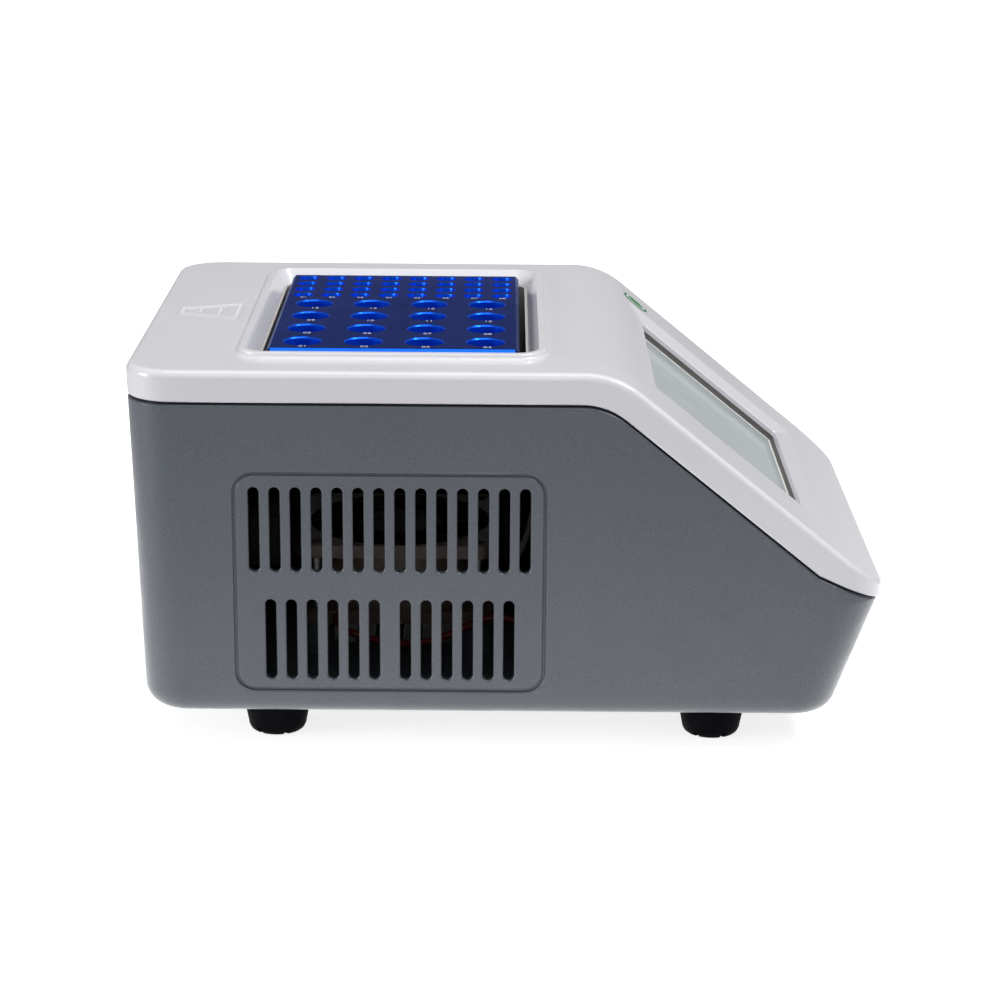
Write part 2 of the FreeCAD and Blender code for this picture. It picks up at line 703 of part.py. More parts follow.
def make_cover():
    form, under_seam = cover_form(), below_seam(0.0)
    outer = form.cut(under_seam)
    outer = with_rounded_top(outer.makeChamfer(SEAM_EDGE, edges_on(outer, (form, under_seam))))
    rim = rounded_block(RIM_X, RIM_Y, RIM_R, ROOF_INSIDE, RIM_TOP, 0.0, BLOCK_Y)
    rim = rim.makeFillet(RIM_EDGE_R, edges_where(rim, lambda p: abs(p.z - RIM_TOP) < TOUCH))
    outer = fused([outer, rim])

    def at_root(p):
        near_x = abs(p.x) < RIM_X + TOUCH
        near_y = abs(p.y - BLOCK_Y) < RIM_Y + TOUCH
        return abs(p.z - ROOF_Z) < TOUCH and near_x and near_y

    outer = outer.makeFillet(RIM_ROOT_R, edges_where(outer, at_root))
    outer = outer.cut(plain_form(COVER_WALL))

    inside = plain_form(COVER_WALL / 2)
    posts = []
    for x, y, top in post_places():
        posts.append(rod(x, y, top, ROOF_Z, POST_R).common(inside))
    for x, y in boss_places():
        posts.append(rod(x, y, BLOCK_BASE, ROOF_INSIDE + CUT, BOSS_R))
    for x, s in display_holes():
        posts.append(on_slope(rod(x, s, COVER_WALL / 2, BOARD_DEPTH, DISPLAY_BOSS_R)))
    cover = fused([outer] + posts + make_relief())

    cuts = [make_throat(), make_inset()]
    cuts.append(slope_plate(WINDOW_X, WINDOW_S, -CUT, COVER_WALL + 2 * CUT))
    for x, y, top in post_places():
        cuts.append(rod(x, y, top - CUT, top + 2 * POST_SEAT, M4_R + SCREW_CLEAR))
    for x, y in boss_places():
        cuts.append(rod(x, y, BLOCK_BASE - CUT, BLOCK_BASE + 2 * POST_SEAT, M3_R + SCREW_CLEAR))
    for x, s in display_holes():
        cuts.append(on_slope(rod(x, s, BOARD_DEPTH - LCD_T, BOARD_DEPTH + CUT, M3_R + SCREW_CLEAR)))
    cover = cover.cut(Part.makeCompound(cuts)).removeSplitter()
    return cover.makeChamfer(WINDOW_EDGE, edges_where(cover, on_window_edge))


# True on the mouth of the window, at the narrow flat round it
def on_window_edge(p):
    x, s, depth = SLOPE_FRAME.inverse().multVec(p)
    within = abs(x) < WINDOW_X / 2 + TOUCH and abs(s - WINDOW_MID_S) < WINDOW_S / 2 + TOUCH
    return within and abs(depth - INSET_T) < TOUCH


# Block with straight wells for large tubes and tapered wells for small ones
def make_block():
    half_x, half_y = BLOCK_X_LEN / 2, BLOCK_Y_LEN / 2
    block = box(-half_x, half_x, BLOCK_Y - half_y, BLOCK_Y + half_y, BLOCK_BASE, BLOCK_TOP)
    block = block.makeChamfer(BLOCK_CHAMFER, edges_where(block, lambda p: p.z > BLOCK_BASE + TOUCH))
    cuts = []
    for row in range(BIG_ROWS):
        for column in range(BIG_ROWS):
            x = BIG_X0 + row * BIG_PITCH
            y = BLOCK_Y + (column - (BIG_ROWS - 1) / 2) * BIG_PITCH
            cone_z = BLOCK_TOP - BIG_STRAIGHT - BIG_CONE
            cone = Part.makeCone(BIG_TIP_R, BIG_R, BIG_CONE, vec(x, y, cone_z))
            cuts.append(cone.fuse(rod(x, y, cone_z + BIG_CONE, BLOCK_TOP, BIG_R)))
            edge_at = vec(x, y, BLOCK_TOP - WELL_EDGE)
            cuts.append(Part.makeCone(BIG_R, BIG_R + WELL_EDGE, WELL_EDGE, edge_at))
    for row in range(SMALL_ROWS):
        for column in range(SMALL_COLUMNS):
            x = SMALL_X0 + row * SMALL_PITCH
            y = BLOCK_Y + (column - (SMALL_COLUMNS - 1) / 2) * SMALL_PITCH
            tip_at = vec(x, y, BLOCK_TOP - SMALL_DEPTH)
            cuts.append(Part.makeCone(SMALL_TIP_R, SMALL_R, SMALL_DEPTH, tip_at))
    return block.cut(Part.makeCompound(cuts))


def make_liner():
    wall_y = LINER_Y + LINER_WALL
    outer = rounded_block(PLATE_X, wall_y, LINER_R + LINER_WALL, BLOCK_BASE, ROOF_INSIDE, 0.0, BLOCK_Y)
    inner = rounded_block(LINER_X, LINER_Y, LINER_R, BLOCK_BASE - CUT, ROOF_INSIDE + CUT, 0.0, BLOCK_Y)
    return outer.cut(inner)


def make_plate():
    wall_y = LINER_Y + LINER_WALL
    plates = [rounded_block(PLATE_X, wall_y, LINER_R, PLATE_BASE, BLOCK_BASE, 0.0, BLOCK_Y)]
    for x, y in boss_places():
        to_middle = -1 if y > BLOCK_Y else 1
        ear_y = y + to_middle * BOSS_R
        plates.append(rounded_block(BOSS_R + CUT, 2 * BOSS_R, BOSS_R / 2, PLATE_BASE, BLOCK_BASE, x, ear_y))
    plate = fused(plates)
    for x, y in boss_places():
        plate = plate.cut(rod(x, y, PLATE_BASE - CUT, BLOCK_BASE + CUT, M3_R + SCREW_CLEAR))
    return plate


def make_mat():
    half_x, half_y = BLOCK_X_LEN / 2 - MAT_MARGIN, BLOCK_Y_LEN / 2 - MAT_MARGIN
    mat = rounded_block(half_x, half_y, LINER_R, MAT_BASE, PLATE_BASE, 0.0, BLOCK_Y)
    mat = mat.cut(rod(CUTOUT_X, BLOCK_Y, MAT_BASE - CUT, PLATE_BASE + CUT, CUTOUT_FLANGE_R + FIT))
    room = (PROBE[0] + 2 * FIT, PROBE[1] + 2 * FIT, MAT_T + 2 * CUT)
    return mat.cut(block_at(PROBE_X, BLOCK_Y + PROBE_DY, MAT_BASE - CUT, room))


def make_cutout():
    flange = rod(CUTOUT_X, BLOCK_Y, PLATE_BASE - CUTOUT_FLANGE_T, PLATE_BASE, CUTOUT_FLANGE_R)
    low_z = PLATE_BASE - CUTOUT_FLANGE_T - CUTOUT_H
    parts = [flange, rod(CUTOUT_X, BLOCK_Y, low_z, PLATE_BASE - CUTOUT_FLANGE_T, CUTOUT_R)]
    tab_size = (TAB[1], TAB[0], TAB[2] + CUT)
    for side in (-1, 1):
        parts.append(block_at(CUTOUT_X + side * CUTOUT_R / 2, BLOCK_Y, low_z - TAB[2], tab_size))
    return fused(parts)


def make_probe():
    saddle = block_at(PROBE_X, BLOCK_Y + PROBE_DY, PLATE_BASE - PROBE[2], PROBE)
    low_z = PLATE_BASE - PROBE[2]
    return saddle.makeFillet(PROBE[2] / 2, edges_where(saddle, lambda p: p.z < low_z + TOUCH))


def make_fan_frame():
    parts = [tube(0.0, BLOCK_Y, FAN_Z, FAN_Z + FAN_T, FAN_SIZE / 2 - SCREW_CLEAR, FAN_BORE_R)]
    for z in (FAN_Z, FAN_Z + FAN_T - FAN_FLANGE_T):
        half = FAN_SIZE / 2
        flange = rounded_block(half, half, FAN_CORNER_R, z, z + FAN_FLANGE_T, 0.0, BLOCK_Y)
        parts.append(flange.cut(rod(0.0, BLOCK_Y, z - CUT, z + FAN_FLANGE_T + CUT, FAN_BORE_R)))
    parts.append(rod(0.0, BLOCK_Y, FAN_Z, FAN_Z + FAN_MOTOR_T, FAN_HUB_R))
    for turn in (45, 135):
        strut = block_at(0.0, 0.0, FAN_Z, (2 * FAN_BORE_R + CUT, FAN_STRUT_W, FAN_MOTOR_T / 2))
        strut.rotate(vec(0, 0, 0), vec(0, 0, 1), turn)
        strut.translate(vec(0, BLOCK_Y, 0))
        parts.append(strut)
    frame = fused(parts)
    cuts = [rod(x, y, FAN_Z - CUT, FAN_Z + FAN_T + CUT, M4_R + SCREW_CLEAR) for x, y in fan_holes()]
    cuts.append(rod(0.0, BLOCK_Y, FAN_Z + CUT, FAN_Z + FAN_T, FAN_SHAFT_R + RUN_FIT))
    return frame.cut(Part.makeCompound(cuts))


def make_fan_rotor():
    low_z = FAN_Z + FAN_MOTOR_T + FAN_HUB_GAP
    top_z = FAN_Z + FAN_T - FAN_HUB_GAP / 2
    hub = rod(0.0, 0.0, low_z, top_z, FAN_HUB_R)
    hub = hub.makeFillet(FAN_HUB_GAP, edges_where(hub, lambda p: p.z > top_z - TOUCH))
    reach = FAN_BORE_R - FAN_TIP_GAP
    swept = rod(0.0, 0.0, low_z + FAN_HUB_GAP, top_z - FAN_HUB_GAP, reach)
    half_len, half_t = FAN_BLADE_LEN / 2, FAN_BLADE_T / 2
    parts = [hub, rod(0.0, 0.0, FAN_Z + 2 * CUT, low_z + CUT, FAN_SHAFT_R)]
    for k in range(FAN_BLADES):
        blade = box(FAN_HUB_R - CUT, reach + CUT, -half_t, half_t, -half_len, half_len)
        blade.rotate(vec(0, 0, 0), vec(1, 0, 0), FAN_BLADE_TILT_DEG)
        blade.translate(vec(0, 0, (low_z + top_z) / 2))
        blade.rotate(vec(0, 0, 0), vec(0, 0, 1), 360.0 * k / FAN_BLADES)
        parts.append(blade.common(swept))
    rotor = fused(parts)
    rotor.translate(vec(0, BLOCK_Y, 0))
    return rotor


def make_foot(x, y):
    foot = Part.makeCone(FOOT_BASE_R, FOOT_TOP_R, BASE_Z, vec(x, y, 0))
    foot = foot.makeFillet(FOOT_EDGE_R, edges_where(foot, lambda p: p.z < TOUCH))
    foot = foot.cut(rod(x, y, -CUT, FOOT_RECESS_H, FOOT_RECESS_R))
    return foot.cut(rod(x, y, 0.0, BASE_Z + CUT, M3_R + SCREW_CLEAR))


# A screw built upright at the origin, then turned to point along a direction
def screw_along(seat, direction, length, shank_r, head_r, head_h):
    screw = screw_up(0.0, 0.0, 0.0, length, shank_r, head_r, head_h)
    screw.Placement = FreeCAD.Placement(seat, FreeCAD.Rotation(vec(0, 0, 1), direction))
    return screw


def m3_screw(seat, direction, length):
    return screw_along(seat, direction, length, M3_R, M3_HEAD_R, M3_HEAD_H)


def make_gasket():
    depth = COVER_WALL
    outer = slope_plate(WINDOW_X + 2 * GASKET_RIM, WINDOW_S + 2 * GASKET_RIM, depth, GASKET_T)
    return outer.cut(slope_plate(WINDOW_X + 2 * FIT, WINDOW_S + 2 * FIT, depth - CUT, GASKET_T + 2 * CUT))


def make_display_board(depth):
    board = slope_plate(DISPLAY_BOARD_X, DISPLAY_BOARD_S, depth, BOARD_T)
    for x, s in display_holes():
        board = board.cut(on_slope(rod(x, s, depth - CUT, depth + BOARD_T + CUT, M3_R + SCREW_CLEAR)))
    return board


def save_display():
    depth = COVER_WALL
    save("display_gasket", make_gasket())
    depth += GASKET_T
    save("touch_glass", slope_plate(WINDOW_X + 2 * GASKET_RIM, WINDOW_S + 2 * GASKET_RIM, depth, GLASS_T))
    depth += GLASS_T
    lcd_rim = 2 * (GASKET_RIM - LCD_MARGIN)
    save("display_module", slope_plate(WINDOW_X + lcd_rim, WINDOW_S + lcd_rim, depth, LCD_T))
    depth += LCD_T
    save("display_board", make_display_board(depth))
    depth += BOARD_T
    screws = []
    outward = SLOPE_FRAME.Rotation.multVec(vec(0, 0, -1))
    for x, s in display_holes():
        seat = SLOPE_FRAME.multVec(vec(x, s, depth))
        screws.append(m3_screw(seat, outward, BOARD_T + LCD_T - FIT))
    save("display_screws", Part.makeCompound(screws))
    buzzer_top = depth + BUZZER_H
    buzzer = rod(BUZZER_X, BUZZER_S, depth, buzzer_top, BUZZER_R)
    hole = rod(BUZZER_X, BUZZER_S, buzzer_top - CUT, buzzer_top + CUT, BUZZER_HOLE_R)
    save("buzzer", on_slope(buzzer.cut(hole)))
    half_w, half_s = RIBBON_W / 2 + CUT, CONNECTOR[1] / 2
    socket = box(-half_w, half_w, RIBBON_S - half_s, RIBBON_S + half_s, depth, depth + RIBBON_SOCKET_H)
    lower = block_at(0.0, RIBBON_Y, POWER_BOARD_TOP, (2 * half_w, CONNECTOR[1], RIBBON_SOCKET_H))
    save("ribbon_sockets", Part.makeCompound([on_slope(socket), lower]))
    start = SLOPE_FRAME.multVec(vec(0, RIBBON_S, depth + RIBBON_SOCKET_H))
    end = vec(0, RIBBON_Y, POWER_BOARD_TOP + RIBBON_SOCKET_H)
    inward = SLOPE_FRAME.Rotation.multVec(vec(0, 0, 1))
    save("display_ribbon", make_ribbon(start, inward, end))


# Flat ribbon: a bowed strip between the two sockets, seen from the side as one curve
def make_ribbon(start, start_way, end):
    reach = (start - end).Length * RIBBON_BOW
    curve = Part.BezierCurve()
    curve.setPoles([start, start + start_way * reach, end + vec(0, 0, reach), end])
    line = curve.toShape()
    line.translate(vec(-RIBBON_W / 2, 0, 0))
    first, last = line.ParameterRange
    outer = []
    for side in (-1, 1):
        points = []
        for k in range(RIBBON_STEPS + 1):
            t = first + (last - first) * k / RIBBON_STEPS
            way = line.tangentAt(t)
            across = vec(0, -way.z, way.y)
            points.append(line.valueAt(t) + across * (side * RIBBON_T / 2))
        outer.append(points)
    splines = []
    for points in outer:
        spline = Part.BSplineCurve()
        spline.interpolate(points)
        splines.append(spline.toShape())
    caps = [Part.LineSegment(outer[0][k], outer[1][k]).toShape() for k in (0, -1)]
    face = Part.Face(Part.Wire([splines[0], caps[1], splines[1], caps[0]]))
    return face.extrude(vec(RIBBON_W, 0, 0))


def make_inlet():
    body = bar_along_y(INLET_X, INLET_Z, INLET_BODY, PAD_Y - INLET_BODY[2], PAD_Y)
    flange = bar_along_y(INLET_X, INLET_Z, INLET_FLANGE, PAD_Y, INLET_FACE_Y)
    upright = edges_where(flange, lambda p: PAD_Y + TOUCH < p.y < INLET_FACE_Y - TOUCH)
    inlet = fused([body, flange.makeFillet(SOCKET_CORNER, upright)])
    cuts = [make_socket_room()]
    mouth_y = INLET_FACE_Y + CUT
    cuts.append(bar_along_y(INLET_X, INLET_Z + DRAWER_DZ, DRAWER, INLET_FACE_Y - DRAWER[2], mouth_y))

    rocker_z = INLET_Z + ROCKER_DZ
    rocker_room = (ROCKER[0] + 2 * ROCKER_ROOM, ROCKER[1] + 2 * FIT)
    pivot_y = INLET_FACE_Y - ROCKER_PIVOT_IN
    cuts.append(bar_along_y(INLET_X, rocker_z, rocker_room, pivot_y - ROCKER_BELLY - ROCKER_ROOM, mouth_y))
    pin_reach = ROCKER[1] / 2 + ROCKER_PIN_LEN + FIT
    cuts.append(rod(INLET_X, pivot_y, rocker_z - pin_reach, rocker_z + pin_reach, ROCKER_PIN_R + RUN_FIT))
    for side in (-1, 1):
        x = INLET_X + side * INLET_HOLE_PITCH / 2
        cuts.append(rod_along_y(x, INLET_Z, INLET_FACE_Y - M3_HEAD_H, mouth_y, M3_HEAD_R + SCREW_CLEAR))
        cuts.append(rod_along_y(x, INLET_Z, PAD_Y - CUT, mouth_y, M3_R + SCREW_CLEAR))
    cuts += make_pins()
    return inlet.cut(Part.makeCompound(cuts))


# Room for a mating plug, with two clipped corners
def make_socket_room():
    half_x, half_z = SOCKET[0] / 2, SOCKET[1] / 2
    middle_z = INLET_Z + SOCKET_DZ
    outline = [(-half_x, -half_z), (half_x, -half_z), (half_x, half_z - SOCKET_CORNER)]
    outline += [(half_x - SOCKET_CORNER, half_z), (-half_x + SOCKET_CORNER, half_z)]
    outline.append((-half_x, half_z - SOCKET_CORNER))
    points = [vec(INLET_X + x, INLET_FACE_Y - SOCKET[2], middle_z + z) for x, z in outline]
    return Part.Face(Part.Wire(polygon_edges(points))).extrude(vec(0, SOCKET[2] + CUT, 0))


def make_pins():
    low_y = PAD_Y - INLET_BODY[2] - PIN_TAIL
    high_y = INLET_FACE_Y - SOCKET[2] + PIN[2]
    pins = []
    for dx, dz in ((-PIN_DX, -PIN_DZ), (PIN_DX, -PIN_DZ), (0.0, PIN_DZ)):
        x, z = INLET_X + dx, INLET_Z + SOCKET_DZ + dz
        pins.append(bar_along_y(x, z, PIN, low_y, high_y))
    return pins


def make_boot():
    y_high = PAD_Y - INLET_BODY[2]
    y_low = y_high - PIN_TAIL - 2 * CUT
    boot = bar_along_y(INLET_X, INLET_Z + SOCKET_DZ, SOCKET, y_low, y_high)
    boot = boot.makeFillet(2 * CUT, edges_where(boot, lambda p: p.y < y_low + TOUCH))
    return boot.cut(Part.makeCompound(make_pins()))


def make_drawer():
    wide, tall, deep = DRAWER[0] - 2 * FIT, DRAWER[1] - 2 * FIT, DRAWER[2] - FIT
    z = INLET_Z + DRAWER_DZ
    low_y = INLET_FACE_Y - deep
    drawer = bar_along_y(INLET_X, z, (wide, tall), low_y, INLET_FACE_Y)
    grip_size = (wide / 2, tall)
    grip = bar_along_y(INLET_X, z - tall / 2, grip_size, INLET_FACE_Y - DRAWER_GRIP, INLET_FACE_Y + CUT)
    fuse_y = low_y + FUSE_R + 2 * CUT
    pocket = block_at(INLET_X, fuse_y, z - FUSE_R, (FUSE_LEN + 2 * FIT, 2 * (FUSE_R + FIT), 2 * tall))
    return drawer.cut(grip).cut(pocket), fuse_y, z


def make_fuse(fuse_y, z):
    return Part.makeCylinder(FUSE_R, FUSE_LEN, vec(INLET_X - FUSE_LEN / 2, fuse_y, z), vec(1, 0, 0))


# Two-winged rocker, resting on its first side
def make_rocker():
    half_x, half_z = ROCKER[0] / 2, ROCKER[1] / 2
    wing = half_x * math.tan(math.radians(ROCKER_TILT_DEG))
    z = INLET_Z + ROCKER_DZ
    outline = [(-half_x, ROCKER_WAIST + wing), (0.0, ROCKER_WAIST), (half_x, ROCKER_WAIST + wing)]
    outline += [(half_x, -ROCKER_SIDE), (half_x / 2, -ROCKER_BELLY)]
    outline += [(-half_x / 2, -ROCKER_BELLY), (-half_x, -ROCKER_SIDE)]
    points = [vec(x, y, -half_z) for x, y in outline]
    rocker = Part.Face(Part.Wire(polygon_edges(points))).extrude(vec(0, 0, ROCKER[1]))
    pin_z = half_z + ROCKER_PIN_LEN
    rocker = fused([rocker, rod(0.0, 0.0, -pin_z, pin_z, ROCKER_PIN_R)])
    rocker.rotate(vec(0, 0, 0), vec(0, 0, 1), -ROCKER_TILT_DEG)
    rocker.translate(vec(INLET_X, INLET_FACE_Y - ROCKER_PIVOT_IN, z))
    return rocker


def make_power_board():
    base_z = FLOOR_Z + POWER_BOARD_LIFT
    board = block_at(0.0, POWER_BOARD_Y, base_z, (POWER_BOARD[0], POWER_BOARD[1], BOARD_T))
    for x, y in power_board_holes():
        board = board.cut(rod(x, y, base_z - CUT, base_z + BOARD_T + CUT, M3_R + SCREW_CLEAR))
    return board


def save_power_board():
    top_z = POWER_BOARD_TOP
    save("power_board", make_power_board())
    down = vec(0, 0, -1)
    screw_len = BOARD_T + POWER_BOARD_LIFT - CUT
    screws = [m3_screw(vec(x, y, top_z), down, screw_len) for x, y in power_board_holes()]
    save("power_board_screws", Part.makeCompound(screws))

    x, y = TRANSFORMER_AT
    core = block_at(x, y, top_z, (TRANSFORMER[0], TRANSFORMER[1] / 2, TRANSFORMER[2]))
    winding_top = top_z + TRANSFORMER[2] - 2 * CUT
    winding = rounded_block(WINDING_X / 2, TRANSFORMER[1] / 2, 3 * CUT, top_z + 2 * CUT, winding_top, x, y)
    feet = block_at(x, y, top_z, (WINDING_X, BOBBIN_Y, 2 * CUT))
    save("supply_transformer", fused([core, winding, feet]))

    cans = []
    for x in CAPACITOR_X:
        can = rod(x, CAPACITOR_Y, top_z, top_z + CAPACITOR_H, CAPACITOR_R)
        top_edges = edges_where(can, lambda p: p.z > top_z + CAPACITOR_H - TOUCH)
        can = can.makeFillet(CUT, top_edges)
        cans.append(can)
    save("bulk_capacitors", Part.makeCompound(cans))

    sink = [block_at(SINK_X, SINK_Y, top_z, (SINK_T, SINK_LEN, SINK_H))]
    pitch = (SINK_LEN - SINK_T) / (SINK_FINS - 1)
    for k in range(SINK_FINS):
        fin_y = SINK_Y - SINK_LEN / 2 + k * pitch
        sink.append(box(SINK_X, SINK_X + SINK_FIN_LEN, fin_y, fin_y + SINK_T, top_z, top_z + SINK_H))
    save("supply_heat_sink", fused(sink))
    transistors = []
    for side in (-1, 1):
        x = SINK_X - SINK_T / 2 - TRANSISTOR[0] / 2
        transistors.append(block_at(x, SINK_Y + side * TRANSISTOR_DY, top_z, TRANSISTOR))
    save("power_transistors", Part.makeCompound(transistors))

    rear_y = POWER_BOARD_Y + POWER_BOARD[1] / 2 - CONNECTOR_EDGE
    sockets = [block_at(x, rear_y, top_z, CONNECTOR) for x in CONNECTOR_X]
    save("board_connectors", Part.makeCompound(sockets))


def save_control_board():
    x = CONTROL_BOARD_X
    y_lo, y_hi = BLOCK_Y - CONTROL_BOARD[0] / 2, BLOCK_Y + CONTROL_BOARD[0] / 2
    board = box(x, x + BOARD_T, y_lo, y_hi, CONTROL_BOARD_Z, CONTROL_BOARD_Z + CONTROL_BOARD[1])
    across = vec(1, 0, 0)
    screws = []
    for y, z in control_board_holes():
        hole = Part.makeCylinder(M3_R + SCREW_CLEAR, BOARD_T + 2 * CUT, vec(x - CUT, y, z), across)
        board = board.cut(hole)
        screws.append(m3_screw(vec(x, y, z), across, BOARD_T + 3 * CUT))
    save("control_board", board)
    save("control_board_screws", Part.makeCompound(screws))
    middle_z = CONTROL_BOARD_Z + CONTROL_BOARD[1] / 2
    save("control_chip", block_at(x - CHIP[0] / 2, BLOCK_Y + CHIP_DY, middle_z, CHIP))
    save("heater_relay", block_at(x - RELAY[0] / 2, BLOCK_Y + RELAY_DY, middle_z, RELAY))


# A round lead along straight runs joined by tangent arcs
def make_lead(points, r):
    edges = []
    start = points[0]
    lengths = [(points[k + 1] - points[k]).Length for k in range(len(points) - 1)]
    for k in range(1, len(points) - 1):
        back = (points[k - 1] - points[k]).normalize()
        ahead = (points[k + 1] - points[k]).normalize()
        half_turn = (math.pi - back.getAngle(ahead)) / 2
        trim = BEND_SHARE * min(lengths[k - 1], lengths[k])
        bend_r = trim / math.tan(half_turn)
        print("bend radius", round(bend_r, 1))
        enter, leave = points[k] + back * trim, points[k] + ahead * trim
        to_centre = (back + ahead).normalize()
        middle = points[k] + to_centre * (bend_r / math.cos(half_turn) - bend_r)
        edges.append(Part.LineSegment(start, enter).toShape())
        edges.append(Part.Arc(enter, middle, leave).toShape())
        start = leave
    edges.append(Part.LineSegment(start, points[-1]).toShape())
    path = Part.Wire(edges)
    section = Part.Wire(Part.Circle(points[0], points[1] - points[0], r).toShape())
    lead = path.makePipeShell([section], True, False)
    print("lead volume over section times length", round(lead.Volume / (math.pi * r * r * path.Length), 4))
    return lead


# Each route starts on the piece that it leaves and ends on its board connector
def save_leads():
    socket_z = POWER_BOARD_TOP + CONNECTOR[2] / 2
    socket_y = POWER_BOARD_Y + POWER_BOARD[1] / 2 - CONNECTOR_EDGE + CONNECTOR[1] / 2

    def into_socket(k):
        x = CONNECTOR_X[k]
        return [vec(x, socket_y + LEAD_RUN_IN, socket_z), vec(x, socket_y, socket_z)]

    fan_x = -FAN_SIZE / 2
    fan_route = [vec(fan_x, 52, 25), vec(fan_x - 7, 52, 25), vec(-42, 46, 23), vec(-41, 36, 20)]
    fan_route += [vec(-37, 25, 18.5), vec(-36, 15, 22), vec(-36.5, 4, 28)]
    save("fan_lead", make_lead(fan_route + into_socket(0), FAN_LEAD_R))

    probe_y = BLOCK_Y + PROBE_DY - PROBE[1] / 2
    probe_z = PLATE_BASE - PROBE[2] + PROBE_LEAD_R + SCREW_CLEAR
    probe_route = [vec(PROBE_X, probe_y, probe_z), vec(PROBE_X, probe_y - 8, probe_z), vec(-22, -8, 67.5)]
    probe_route += [vec(-21.5, -8.5, 57), vec(-20, -6, 46), vec(-19, 0, 35)]
    save("probe_lead", make_lead(probe_route + into_socket(1), PROBE_LEAD_R))

    mat_y = BLOCK_Y - BLOCK_Y_LEN / 2 + 2 * MAT_MARGIN
    heater_route = [vec(8, mat_y, MAT_BASE), vec(8, mat_y, MAT_BASE - 10.5), vec(5, 0.5, 54)]
    heater_route += [vec(1, -0.5, 44), vec(0, 0.5, 34)]
    save("heater_lead", make_lead(heater_route + into_socket(2), HEATER_LEAD_R))

    boot_x = INLET_X + SOCKET[0] / 2
    boot_y = PAD_Y - INLET_BODY[2] - PIN_TAIL / 2
    boot_z = INLET_Z + SOCKET_DZ
    mains_route = [vec(boot_x, boot_y, boot_z), vec(boot_x + 10, boot_y, boot_z), vec(60, 70, 30)]
    mains_route += [vec(60, 58, 20), vec(56, 42, 17), vec(50, 22, 16.5), vec(45, 6, 18)]
    save("mains_lead", make_lead(mains_route + into_socket(3), MAINS_LEAD_R))


def save_all():
    save("lower_case", make_case())
    save("top_cover", make_cover())
    save("heating_block", make_block())
    save("well_liner", make_liner())
    save("heater_plate", make_plate())
    save("heater_mat", make_mat())
    save("thermal_cutout", make_cutout())
    save("temperature_probe", make_probe())
    up = vec(0, 0, 1)
    plate_screws = [m3_screw(vec(x, y, PLATE_BASE), up, PLATE_T + POST_SEAT) for x, y in boss_places()]
    save("plate_screws", Part.makeCompound(plate_screws))

    save("fan_frame", make_fan_frame())
    save("fan_rotor", make_fan_rotor())
    fan_screws = []
    for x, y in fan_holes():
        fan_screws.append(screw_up(x, y, FLOOR_Z + M4_HEAD_H, FAN_SCREW_LEN, M4_R, M4_HEAD_R, M4_HEAD_H))
    save("fan_screws", Part.makeCompound(fan_screws))

    save_display()
    save_power_board()
    save_control_board()
    save_leads()

    save("power_inlet", make_inlet())
    save("inlet_pins", Part.makeCompound(make_pins()))
    save("inlet_boot", make_boot())
    save("power_rocker", make_rocker())
    drawer, fuse_y, fuse_z = make_drawer()
    save("fuse_drawer", drawer)
    save("fuse_cartridge", make_fuse(fuse_y, fuse_z))
    inlet_screws = []
    for side in (-1, 1):
        seat = vec(INLET_X + side * INLET_HOLE_PITCH / 2, INLET_FACE_Y - M3_HEAD_H, INLET_Z)
        inlet_screws.append(m3_screw(seat, vec(0, -1, 0), INLET_FLANGE[2] - M3_HEAD_H + 2 * PAD_WALL))
    save("inlet_screws", Part.makeCompound(inlet_screws))

    foot_screws = []
    for name, (x, y) in foot_places().items():
        save(name, make_foot(x, y))
        foot_screws.append(screw_up(x, y, FOOT_RECESS_H, FOOT_SCREW_LEN, M3_R, M3_HEAD_R, M3_HEAD_H))
    save("foot_screws", Part.makeCompound(foot_screws))

    case_screws = []
    for x, y, top in post_places():
        reach = 2 * POST_SEAT + 2 * CUT
        case_screws.append(screw_up(x, y, top - POST_SEAT, reach, M4_R, M4_HEAD_R, M4_HEAD_H))
    save("case_screws", Part.makeCompound(case_screws))
    sticker = Part.makeCylinder(STICKER_R, STICKER_T, vec(STICKER_X, STICKER_S, -STICKER_T))
    save("round_sticker", on_slope(sticker))


os.makedirs("parts", exist_ok=True)
save_all()
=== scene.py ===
import json
import math

import bmesh
import bpy
from mathutils import Matrix, Vector


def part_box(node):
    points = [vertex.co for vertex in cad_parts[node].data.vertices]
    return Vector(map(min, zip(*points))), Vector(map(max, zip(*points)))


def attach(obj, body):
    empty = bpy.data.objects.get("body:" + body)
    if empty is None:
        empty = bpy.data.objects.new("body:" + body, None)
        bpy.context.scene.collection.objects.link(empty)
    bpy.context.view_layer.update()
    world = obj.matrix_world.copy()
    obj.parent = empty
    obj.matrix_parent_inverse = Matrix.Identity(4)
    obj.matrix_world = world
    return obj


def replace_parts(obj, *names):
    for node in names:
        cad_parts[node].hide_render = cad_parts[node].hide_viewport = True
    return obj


# Dry bath incubator: finishes, labels, feet and screen round the fixed frame
# Metres, +Z up, front towards -Y
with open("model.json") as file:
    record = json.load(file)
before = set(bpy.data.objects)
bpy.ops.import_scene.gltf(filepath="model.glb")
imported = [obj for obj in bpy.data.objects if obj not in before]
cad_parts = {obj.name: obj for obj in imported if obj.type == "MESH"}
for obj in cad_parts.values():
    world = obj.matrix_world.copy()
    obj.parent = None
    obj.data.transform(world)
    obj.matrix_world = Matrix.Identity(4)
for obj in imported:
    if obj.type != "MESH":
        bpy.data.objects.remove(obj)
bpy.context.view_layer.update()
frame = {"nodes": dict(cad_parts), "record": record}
nodes = frame["nodes"]

MM = 0.001

# Camera at the photograph's viewing angle, looking along +X
CAMERA_AT = Vector((-849.1, 1.0, 294.5)) * MM
CAMERA_PITCH = 0.2760
CAMERA_YAW = -0.0011
CAMERA_ROLL = 0.0074
CAMERA_LENS = 100.5
CAMERA_SENSOR = 36.0

